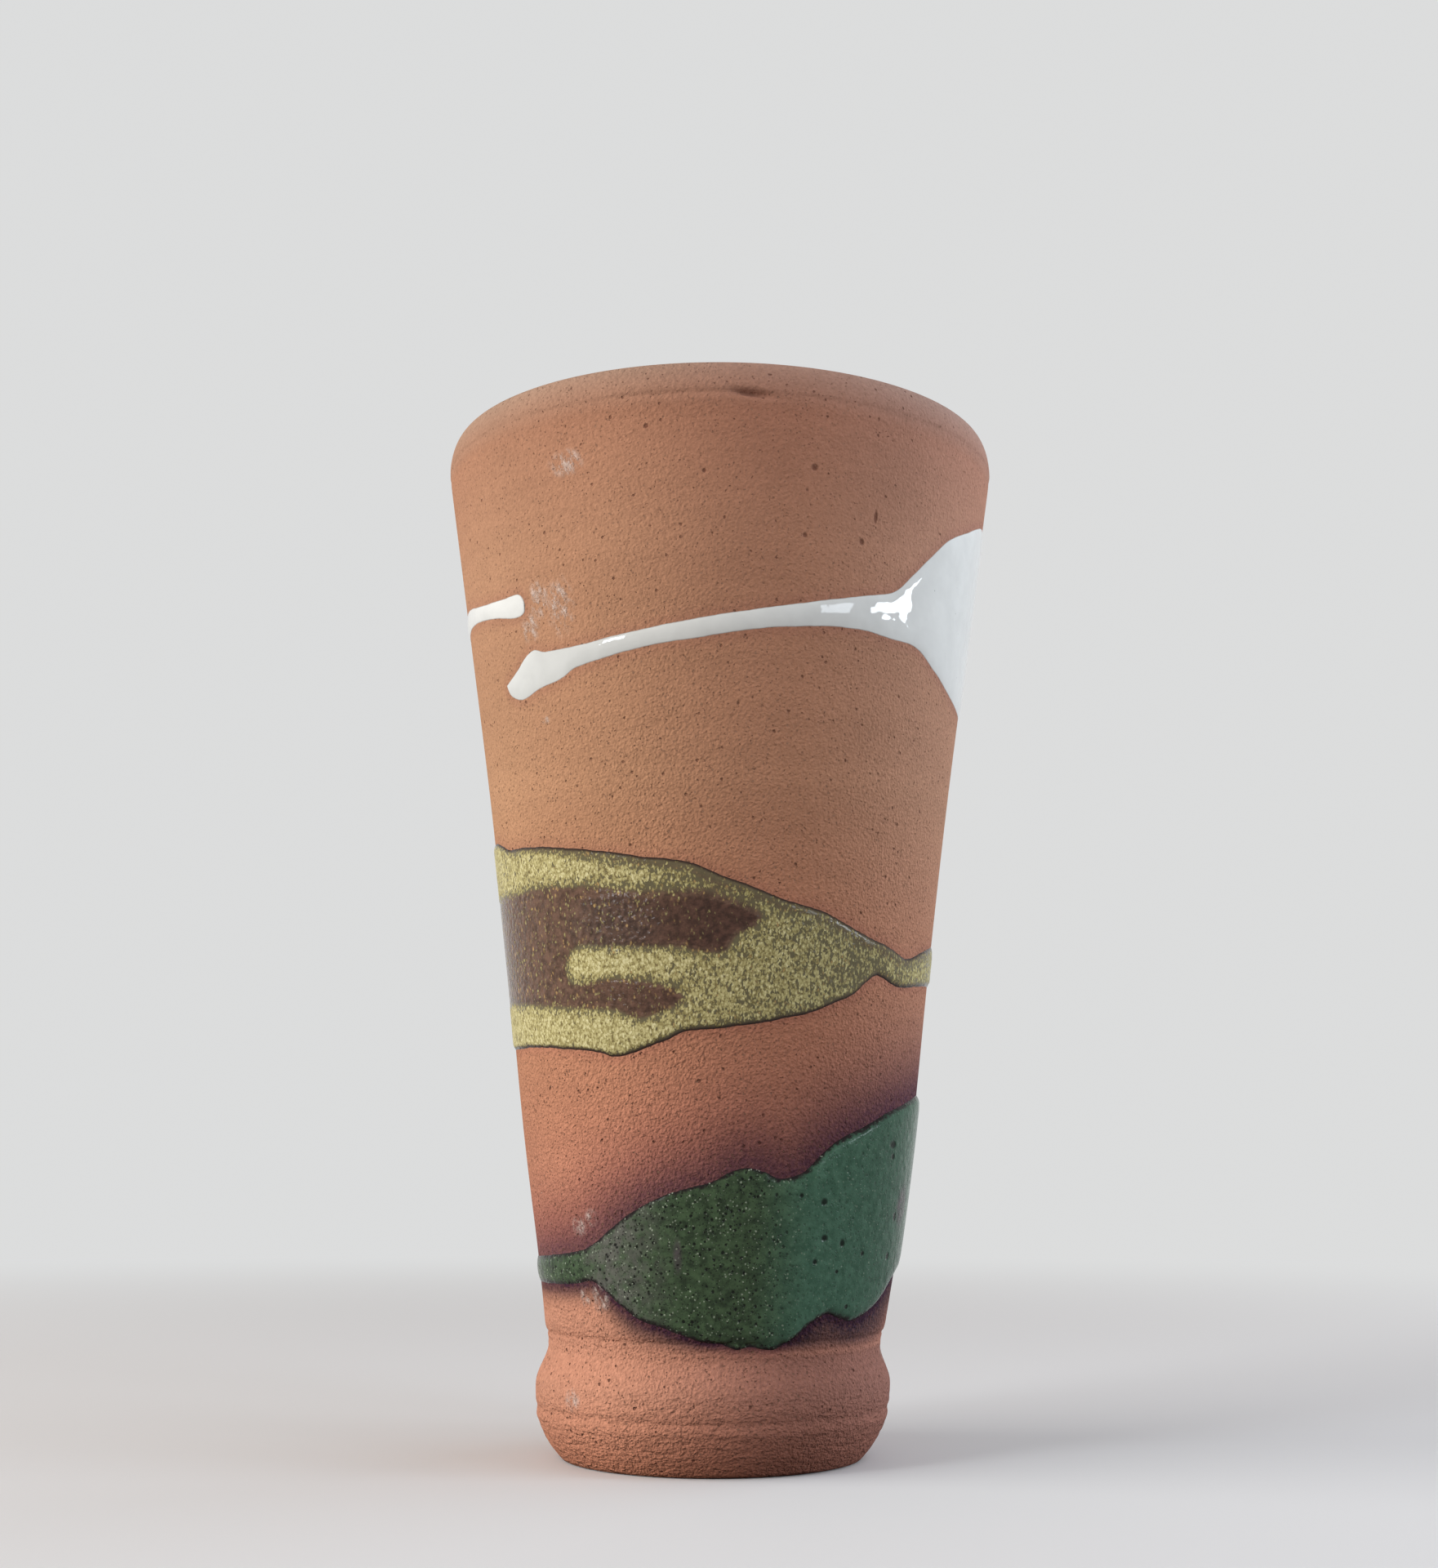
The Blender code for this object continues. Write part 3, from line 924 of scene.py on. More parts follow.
    def _stained_and_shaded(self, face: Surface, colour: Socket) -> Socket:
        """Colour the clay by the mesh's numbers: kiln marks and painted shade.

        Args:
            face: the clay's surface.
            colour: colour of the plain clay.

        Returns:
            Colour reddened by the glaze's fumes, purple close to it, scorched under it, with painted shade at
            edges, dent and foot.
        """
        ragged = face.clouds(self.stain_rags, self.stain_share)
        lost: Any = (0.0, 0.0, 0.0)
        # The first number holds the fumes' purple and painted shade along glaze edges; the third holds the
        # scorching under the green and painted shade in the dent and on the foot.
        for name, share in (("blush_and_edge_shade", self.blush_and_edge_shade), ("flash", self.flash), ("scorch_and_shade", self.scorch_and_shade)):
            part = face.times(face.attribute(name), ragged)
            lost = face.vector("ADD", lost, face.scaled(share, part))
        kept = face.vector("MAXIMUM", face.vector("SUBTRACT", (1.0, 1.0, 1.0), lost), self.darkest)
        return face.vector("MULTIPLY", colour, kept)


@dataclass(frozen=True)
class WhiteFinish:
    """Glossy white glaze, greyer towards the start of the trail on the left."""

    full: Colour = (224, 224, 220)
    thin: Colour = (206, 207, 204)
    clouds: Lumps = Lumps(0.006, 3.0)
    cloud_tone: Step = Step(0.3, 0.7, 0.95, 1.02)
    # Dark line along the edges: partly the glaze's own darker edge, partly painted shadow where it meets the
    # clay.
    rim: Layer = Layer((120, 104, 95))
    rim_reach: Step = Step(0.00006, 0.00030, 0.7, 0.0)
    speck: Layer = Layer((120, 112, 104), 0.35, -0.5)
    specks: Specks = Specks(0.0032, 0.00022, 0.35)
    peel: Lumps = Lumps(0.0030, 1.0)
    gloss: float = 0.45
    roughness: float = 0.03
    relief: float = 0.00010

    def material(self) -> bpy.types.Material:
        """White glaze material.

        Returns:
            The material, which reads the sheet's reach and depth numbers.
        """
        face = Surface("white_glaze")
        colour = face.mix(face.attribute("depth"), fired(self.thin), fired(self.full))
        colour = face.scaled(colour, face.clouds(self.clouds, self.cloud_tone))
        specks = face.specks(face.place, self.specks)
        colour = face.paint(colour, self.speck, specks)
        colour = face.paint(colour, self.rim, face.step(face.attribute("reach"), self.rim_reach))
        height = face.weighted((face.noise(face.place, self.peel), 1.0), (specks, self.speck.relief))
        return face.complete(colour, self.gloss, self.roughness, height, self.relief)


class Coat(Enum):
    """The two coats of the middle pour."""

    BROWN = "brown_glaze"
    OCHRE = "ochre_glaze"


@dataclass(frozen=True)
class GrainFinish:
    """Middle pour: yellow-ochre grains over a dark brown glaze, sparse or dense by the yellow number."""

    tones: tuple[tuple[float, Colour], ...] = (
        (0.0, (114, 100, 66)), (0.30, (152, 140, 92)), (0.65, (190, 179, 126)), (1.0, (218, 209, 162)),
    )
    grain_pitch: float = 0.00035
    grain_stretch: Triple = (1.0, 1.0, 0.6)
    grain_edge: Step = Step(-0.09, 0.07)
    grain_relief: float = 0.5
    roundness: float = 0.12
    bend: tuple[float, float] = (0.0005, 0.0005)
    clumps: Lumps = Lumps(0.0014, 3.0, 0.65)
    clump_share: Step = Step(0.25, 0.75, -0.60, 0.46)
    clumps_across: Step = Step(0.000, 0.022, 1.0, 0.55)
    clump_end: float = 1.25
    shades: Lumps = Lumps(0.00045, 2.0, 0.65)
    spare_tone: float = 0.45
    # Painted shade between the grains: their tone falls towards each grain's edge.
    painted_hollow_shade: float = 0.35
    tone_gain: float = 1.5
    tone_base: float = -0.27
    glass: Colour = (99, 74, 60)
    glass_dark: Colour = (79, 54, 44)
    glass_by_coat: Step = Step(0.03, 0.10)
    glass_clouds: Lumps = Lumps(0.0013, 3.0, 0.65)
    glass_tone: Step = Step(0.3, 0.7, 0.62, 1.38)
    olive: Layer = Layer((106, 98, 72))
    olive_rim: Step = Step(0.0008, 0.0030, 0.8, 0.0)
    olive_by_coat: Step = Step(0.1, 0.5)
    # Ochre specks in the brown glaze, the glaze's own colour.
    fleck_and_glint: Layer = Layer((196, 160, 100))
    flecks_and_glints: Specks = Specks(0.0008, 0.00034, 0.75)
    flecks_by_coat: Step = Step(0.02, 0.10)
    fleck_and_glint_clouds: Lumps = Lumps(0.003)
    fleck_and_glint_share: Step = Step(0.35, 0.60, 0.2, 0.75)
    rim: Layer = Layer((52, 36, 30))
    rim_reach: Step = Step(0.00015, 0.0008, 1.0, 0.0)
    holes: tuple[Mark, ...] = marked((18.5, 0.397, 0.7, 0.8), (18.7, 0.415, 0.4, 0.4))
    boiled: tuple[Mark, ...] = marked((-27.0, 0.431, 13.0, 8.0))
    boiled_tone: Step = Step(0.0, 1.0, 1.0, 0.85)
    boiled_gloss: float = 0.14
    blisters: Lumps = Lumps(0.0010, 0.0)
    blister_relief: Step = Step(0.0, 1.0, 0.0, 4.0)
    crinkle: Lumps = Lumps(0.0008)
    crinkle_stretch: Triple = (0.7, 0.7, 1.0)
    crinkle_by_coat: Step = Step(0.06, 0.25, 2.4, 0.9)
    gloss: Step = Step(0.0, 1.0, 0.18, 0.10)
    roughness: Step = Step(0.0, 1.0, 0.08, 0.50)
    relief: float = 0.00012

    def material(self, coat: Coat, wall: ThrownWall) -> bpy.types.Material:
        """Material of one of the two coats, which share one pattern.

        Args:
            coat: which coat.
            wall: gives the places of single pinholes.

        Returns:
            The material, which reads the sheet's reach and yellow numbers.
        """
        face = Surface(coat.value)
        film = MiddleGlazes.brown_film
        yellow, reach = face.attribute("yellow"), face.attribute("reach")
        uneven = face.bent(face.stretched(face.place, self.grain_stretch), *self.bend)
        distance, number = face.cells(uneven, self.grain_pitch)
        clumps = face.times(
            face.clouds(self.clumps, self.clump_share),
            face.step(face.split(face.place)[0], self.clumps_across),
            face.times(yellow, face.math("SUBTRACT", self.clump_end, yellow)),
        )
        dense = face.math("SUBTRACT", face.plus(yellow, clumps), wall.marks(face, self.holes, film))
        spare = face.weighted((dense, 1.0), (number, -1.0), (distance, -self.roundness))
        grains = face.step(spare, self.grain_edge)
        shades = face.noise(face.place, self.shades)
        tone = face.weighted((spare, self.spare_tone), (shades, 1.0), (distance, -self.painted_hollow_shade))
        tone = face.math("MULTIPLY_ADD", tone, self.tone_gain, self.tone_base)

        boiled = wall.marks(face, self.boiled, film)
        glass = face.mix(face.step(yellow, self.glass_by_coat), fired(self.glass_dark), fired(self.glass))
        glass = face.scaled(glass, face.clouds(self.glass_clouds, self.glass_tone))
        glass = face.scaled(glass, face.step(boiled, self.boiled_tone))
        olive = face.most(face.step(reach, self.olive_rim), face.step(yellow, self.olive_by_coat))
        glass = face.paint(glass, self.olive, olive)
        flecks_and_glints = face.times(
            face.specks(uneven, self.flecks_and_glints), face.step(yellow, self.flecks_by_coat),
            face.clouds(self.fleck_and_glint_clouds, self.fleck_and_glint_share),
        )
        glass = face.paint(glass, self.fleck_and_glint, flecks_and_glints)
        colour = face.mix(grains, glass, face.ramp(tone, self.tones))
        colour = face.paint(colour, self.rim, face.step(reach, self.rim_reach))

        gloss = face.math("MULTIPLY_ADD", boiled, self.boiled_gloss, face.step(grains, self.gloss))
        crinkle = face.noise(face.stretched(face.place, self.crinkle_stretch), self.crinkle)
        height = face.weighted(
            (grains, self.grain_relief),
            (crinkle, face.step(yellow, self.crinkle_by_coat)),
            (face.noise(face.place, self.blisters), face.step(boiled, self.blister_relief)),
        )
        return face.complete(colour, gloss, face.step(grains, self.roughness), height, self.relief)


@dataclass(frozen=True)
class GreenFinish:
    """Copper green glaze: dark olive full of pits on the left, smoother blue-green where it lies thick."""

    olive: Colour = (76, 96, 68)
    olive_dark: Colour = (46, 58, 42)
    jade: Colour = (58, 88, 70)
    jade_pale: Colour = (76, 108, 88)
    # Painted light and shade across the splash, by x: lighter towards the middle, darker towards the right
    # edge.
    painted_light_across_jade: Step = Step(0.016, 0.033, 1.14, 0.85)
    clouds: Lumps = Lumps(0.0016, 4.0, 0.65)
    cloud_share: Step = Step(0.3, 0.7)
    thin: Layer = Layer((108, 106, 100))
    wear: Lumps = Lumps(0.0022, 3.0, 0.65)
    wear_share: Step = Step(0.30, 0.66, 0.15, 0.85)
    dull: Layer = Layer((84, 76, 78))
    dull_patches: tuple[Mark, ...] = marked((70.0, 0.130, 4.0, 5.5), (-11.6, 0.075, 1.2, 5.0))
    dull_share: Step = Step(0.0, 1.0, 0.5, 1.0)
    bend: tuple[float, float] = (0.0005, 0.0003)
    left_share: Step = Step(0.0, 1.0, 1.0, 0.35)
    small_pits: Specks = Specks(0.0005, 0.00023, 0.9)
    small_depth: float = 0.6
    large_pits: Specks = Specks(0.0010, 0.00044, 0.9)
    holes: tuple[Mark, ...] = marked(
        (57.9, 0.197, 1.7, 1.0), (58.6, 0.184, 0.9, 0.8), (31.1, 0.136, 1.0, 0.9), (23.8, 0.143, 0.6, 0.6),
        (32.1, 0.098, 1.0, 0.8), (38.8, 0.092, 0.9, 1.0), (63.0, 0.075, 0.9, 1.0), (64.5, 0.118, 1.0, 1.2),
        (47.9, 0.080, 0.7, 0.6), (29.5, 0.073, 0.7, 0.7), (37.8, 0.062, 0.5, 0.5), (43.6, 0.024, 0.6, 0.6),
        (-22.0, 0.110, 0.7, 0.7),
    )
    # Painted shade: the pinholes are darkened nearly to black, and sunk in the relief.
    pit_shade: Layer = Layer((18, 20, 17), 0.9, -0.6)
    rim: Layer = Layer((36, 30, 30))
    rim_reach: Step = Step(0.0001, 0.0010, 1.0, 0.0)
    rim_rags: Lumps = Lumps(0.0009)
    rim_waver: Step = Step(0.3, 0.7, -0.0003, 0.0003)
    # Painted highlights: pale specks that stand for glints on bubbles in the glaze.
    fleck_and_glint: Layer = Layer((176, 186, 164))
    flecks_and_glints: Specks = Specks(0.0007, 0.00026, 0.8)
    fleck_and_glint_clouds: Lumps = Lumps(0.004)
    fleck_and_glint_share: Step = Step(0.35, 0.65, 0.30, 0.75)
    # Painted highlights: glints along the glaze's edges.
    rim_glints: Specks = Specks(0.0007, 0.00022, 0.3)
    rim_glint_reach: Step = Step(0.0006, 0.0018, 1.0, 0.0)
    peel: Lumps = Lumps(0.0020)
    gloss: float = 0.09
    roughness: float = 0.18
    relief: float = 0.00022

    def material(self, wall: ThrownWall) -> bpy.types.Material:
        """Green glaze material.

        Args:
            wall: gives the places of single pinholes.

        Returns:
            The material, which reads the sheet's reach, lobe and thin numbers.
        """
        face = Surface("green_glaze")
        film = GreenGlaze.lobe_film
        lobe, reach = face.attribute("lobe"), face.attribute("reach")
        clouds = face.clouds(self.clouds, self.cloud_share)
        left = face.mix(clouds, fired(self.olive_dark), fired(self.olive))
        right = face.mix(clouds, fired(self.jade), fired(self.jade_pale))
        # Painted light and shade across the splash, by x.
        right = face.scaled(right, face.step(face.split(face.place)[0], self.painted_light_across_jade))
        colour = face.mix(lobe, left, right)
        worn = face.times(face.attribute("thin"), face.clouds(self.wear, self.wear_share))
        colour = face.paint(colour, self.thin, worn)
        patches = wall.marks(face, self.dull_patches, film)
        colour = face.paint(colour, self.dull, face.times(patches, face.step(clouds, self.dull_share)))

        uneven = face.bent(face.place, *self.bend)
        share = face.step(lobe, self.left_share)
        small = face.times(face.specks(uneven, self.small_pits), self.small_depth)
        pits = face.times(face.most(face.specks(uneven, self.large_pits), small), share)
        pits = face.most(pits, wall.marks(face, self.holes, film))
        # The pinholes' dark colour is painted shade.
        colour = face.paint(colour, self.pit_shade, pits)
        ragged = face.plus(reach, face.clouds(self.rim_rags, self.rim_waver))
        colour = face.paint(colour, self.rim, face.step(ragged, self.rim_reach))
        # Painted glints along the edges and over the glaze, laid in as pale specks.
        rim_glint_mask = face.times(face.specks(uneven, self.rim_glints), face.step(reach, self.rim_glint_reach))
        flecks_and_glints = face.most(face.times(face.specks(uneven, self.flecks_and_glints), share), rim_glint_mask)
        flecks_and_glints = face.times(flecks_and_glints, face.clouds(self.fleck_and_glint_clouds, self.fleck_and_glint_share))
        colour = face.paint(colour, self.fleck_and_glint, flecks_and_glints)
        height = face.weighted((face.noise(face.place, self.peel), 1.0), (pits, self.pit_shade.relief))
        return face.complete(colour, self.gloss, self.roughness, height, self.relief)


@dataclass(frozen=True)
class LinerFinish:
    """Clear liner glaze over the clay inside: a glossy buff."""

    colour: Colour = (200, 184, 160)
    pooled: Colour = (178, 156, 130)
    rings: Lumps = Lumps(0.006)
    ring_stretch: Triple = (0.08, 0.08, 1.0)
    ring_tone: Step = Step(0.35, 0.7)
    speck: Layer = Layer((96, 70, 52), 0.6)
    specks: Specks = Specks(0.0025, 0.00035, 0.4)
    gloss: float = 0.5
    roughness: float = 0.18
    relief: float = 0.00025

    def material(self) -> bpy.types.Material:
        """Liner material.

        Returns:
            The material, with throwing rings and a few specks.
        """
        face = Surface("liner_glaze")
        rings = face.noise(face.stretched(face.place, self.ring_stretch), self.rings)
        colour = face.mix(face.step(rings, self.ring_tone), fired(self.pooled), fired(self.colour))
        colour = face.paint(colour, self.speck, face.specks(face.place, self.specks))
        return face.complete(colour, self.gloss, self.roughness, rings, self.relief)


@dataclass
class Pour:
    """One glaze poured round the wall between an upper and a lower edge.

    The edges are (angle, share) points in order of angle. A ring meets itself after a full turn.
    """

    wall: ThrownWall
    upper: Edge
    lower: Edge
    ring: bool
    seed: int
    wobble: float = 0.00012
    wobble_behind: float = 3.5
    behind_end: float = 0.6
    wobble_waves: tuple[int, int] = (31, 6)
    wobble_end: float = 4.0
    column: float = 0.5
    end_column: float = 0.05
    end_columns: int = 14
    inner_rows: int = 22
    near_rows: tuple[float, ...] = (0.0, 0.00004, 0.00012, 0.00025, 0.00045, 0.0007, 0.0010, 0.0014)
    near_share: float = 0.45
    angles: np.ndarray = field(init=False)
    low: np.ndarray = field(init=False)
    high: np.ndarray = field(init=False)
    z: np.ndarray = field(init=False)

    def __post_init__(self) -> None:
        """Work out the columns, both edges' heights and the rows between them."""
        first, last = self.upper[0][0], self.upper[-1][0]
        if self.ring:
            self.angles = np.arange(-180.0, 180.0, self.column)
        else:
            close = np.geomspace(self.end_column, self.column, self.end_columns)
            ends = np.cumsum(np.concatenate([[0.0], close]))
            middle = np.arange(first + ends[-1], last - ends[-1], self.column)[1:]
            self.angles = np.concatenate([first + ends, middle, last - ends[::-1]])
        self.low = self._height(self.lower, self.seed)
        self.high = np.maximum(self._height(self.upper, self.seed + 1), self.low)
        self.z = self._rows()

    def _height(self, edge: Edge, seed: int) -> np.ndarray:
        """Lay out one edge.

        Args:
            edge: its (angle, share) points.
            seed: picks its wobble.

        Returns:
            Its height at every column.
        """
        points = np.array(edge)
        if self.ring:
            turn = np.array([360.0, 0.0])
            points = np.concatenate([points[-4:-1] - turn, points, points[1:4] + turn])
        curve = smooth_line(points, self.wall.metric)
        share = np.interp(self.angles, np.maximum.accumulate(curve[:, 0]), curve[:, 1])
        wobble = self.wobble * waviness(self.angles, seed, *self.wobble_waves)
        wobble *= 1 + self.wobble_behind * ease(-np.cos(np.radians(self.angles)), 0.0, self.behind_end)
        if not self.ring:
            for ahead in (self.angles - self.angles[0], self.angles[-1] - self.angles):
                wobble *= ease(ahead, 0, self.wobble_end)
        return self.wall.at_share(share) + wobble

    def _rows(self) -> np.ndarray:
        """Space out the sheet's rows, close together along the edges.

        Returns:
            Heights by row and column, from the lower edge to the upper one.
        """
        width = self.high - self.low
        near = np.array(self.near_rows)
        below = near[:, None] * np.minimum(1.0, self.near_share * width / near[-1])
        inner = np.linspace(0, 1, self.inner_rows + 2)[1:-1, None]
        middle = below[-1] + (width - 2 * below[-1]) * inner
        return self.low + np.concatenate([below, middle, width - below[::-1]])

    def outline(self) -> np.ndarray:
        """Points along both edges, on the clay."""
        return np.concatenate([self.wall.place(self.angles, z) for z in (self.low, self.high)])

    def reach(self) -> np.ndarray:
        """Distance of each of the sheet's points from the nearest edge."""
        return nearest(self.wall.place(self.angles, self.z), self.outline())

    def lay(
        self, trees: PotterTrees, name: str, lift: np.ndarray, under: float, glaze: bpy.types.Material,
        **numbers: np.ndarray,
    ) -> bpy.types.Object:
        """Lay a closed sheet of glaze, a face and an underside sunk below it, round the wall.

        Args:
            trees: shaping steps.
            name: piece name.
            lift: lift of the face off the clay, by row and column.
            under: lift of the underside's two inner rows.
            glaze: material.
            numbers: what each point of the face holds for the material, by name.

        Returns:
            The finished piece.
        """
        rows, columns = self.z.shape
        low, high = self.z[0], self.z[-1]
        z = np.concatenate([self.z, [low + (high - low) / 3, low + (high - low) * 2 / 3]])
        turn = np.broadcast_to(np.radians(self.angles), z.shape)
        radius = self.wall.radius(z) + np.concatenate([lift, np.full((2, columns), under)])
        points = np.stack([turn, radius, z], axis=-1).reshape(-1, 3)
        index = np.arange(z.size).reshape(z.shape)[[*range(rows), rows + 1, rows, 0]]
        right = np.roll(index, -1, axis=1) if self.ring else index[:, 1:]
        left = index if self.ring else index[:, :-1]
        quads = np.stack([left[:-1], right[:-1], right[1:], left[1:]], axis=-1).reshape(-1, 4)
        piece = new_piece(name, points, [], quads.tolist())
        store(piece.data, "shift", self.wall.shift(z))
        for label, values in numbers.items():
            face = np.broadcast_to(values, self.z.shape)
            store(piece.data, label, np.concatenate([face, np.zeros((2, columns))]))
        trees.lay.run(piece, {"Glaze": glaze})
        return piece


def bead(reach: np.ndarray, film: np.ndarray | float, width: np.ndarray | float) -> np.ndarray:
    """Lift of a glaze face that rounds up from its edge to its full film.

    Args:
        reach: distance from the edge.
        film: full thickness.
        width: distance over which it rounds up.

    Returns:
        Lift off the clay.
    """
    sink, fullness = 0.00004, 0.8
    rest = 1 - np.clip(reach / width, 0, 1)
    return (film + sink) * (1 - rest * rest) ** fullness - sink


def dress(piece: bpy.types.Object, node: str) -> None:
    """Hand a finished piece over: it rides on the body and replaces its node.

    Args:
        piece: the piece.
        node: node that it replaces.
    """
    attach(piece, BODY)
    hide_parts(node)
    log.info("%s: %d faces for node %s", piece.name, len(piece.data.polygons), node)


@dataclass(frozen=True)
class FlashingAndPaintedShade:
    """What the glazes' fumes leave on the bare clay in the kiln, strongest round the green one, and painted
    shade.

    Painted shade lies along every glaze edge, in the dent and on the foot. Reaches are in millimetres.
    """

    strength: ByAngle = ByAngle((-180, -110, -60, 0, 18, 110, 180), (0.7, 0.8, 1, 1, 1.08, 1.1, 0.7))
    flash_reach: ByAngle = ByAngle(
        (-180, -60, -45, -28, -12, 12, 25, 40, 80, 120, 180), (5, 5, 5.5, 6.2, 6.8, 9.3, 9.8, 10, 12, 8, 5)
    )
    scorch_reach: ByAngle = ByAngle(
        (-180, -60, -45, -28, -12, 12, 25, 40, 80, 120, 180), (3, 2.5, 2.8, 3.6, 3.4, 4, 8.2, 8.2, 10, 5, 3)
    )
    blush_reach: float = 10.5
    blush_fall: float = 1.6
    flash_fall: float = 1.5
    scorch_fall: float = 2.5
    # Painted shade along the edges of every glaze, kept in the same number as the fumes' purple.
    edge_painted_shade: float = 0.25
    edge_shade_reach: float = 1.3
    groove_scorch: float = 0.35
    groove: tuple[float, float] = (0.0212, 0.0236)
    # Darkening of the foot's right half: partly a reddish kiln mark, partly painted shade.
    foot_stain_and_shade: float = 0.55
    foot_start: tuple[float, float] = (-25, 30)
    foot_end: tuple[float, float] = (110, 150)
    foot_top: tuple[float, float] = (0.0225, 0.0205)

    def stain_and_shade(self, mesh: bpy.types.Mesh, pours: dict[str, Pour], painted_dent_shade: np.ndarray) -> None:
        """Keep how much each point of the clay is reddened, darkened and scorched, and the painted shade on
        it.

        Args:
            mesh: the clay's mesh.
            pours: the glazes, by node name.
            painted_dent_shade: painted shade of the dent at each point, on the same scale as the scorching.
        """
        points = points_of(mesh)
        angles, z = bearing(points), points[:, 2]
        gaps = {name: nearest(points, pour.outline()) / MM for name, pour in pours.items()}
        green, gap = pours["green_glaze"], gaps["green_glaze"]
        above = z > np.interp(angles, green.angles, (green.low + green.high) / 2)
        strength = self.strength.at(angles)
        blush_and_edge_shade = strength * hump(gap, self.blush_reach, self.blush_fall) * above
        flash = strength * hump(gap, self.flash_reach.at(angles), self.flash_fall) * above
        scorch_and_shade = strength * hump(gap, self.scorch_reach.at(angles), self.scorch_fall) * ~above
        scorch_and_shade *= self.groove_scorch + (1 - self.groove_scorch) * ease(z, *self.groove)
        # The foot's darkening, partly kiln mark and partly painted shade.
        foot = self.foot_stain_and_shade * ease(angles, *self.foot_start) * (1 - ease(angles, *self.foot_end))
        # Painted shade along the edges of all the glazes.
        edge = self.edge_painted_shade * hump(np.min(list(gaps.values()), axis=0), self.edge_shade_reach)
        store(mesh, "blush_and_edge_shade", np.maximum(blush_and_edge_shade, edge))
        store(mesh, "flash", flash)
        store(mesh, "scorch_and_shade", np.max([scorch_and_shade, foot * ease(z, *self.foot_top), painted_dent_shade], axis=0))


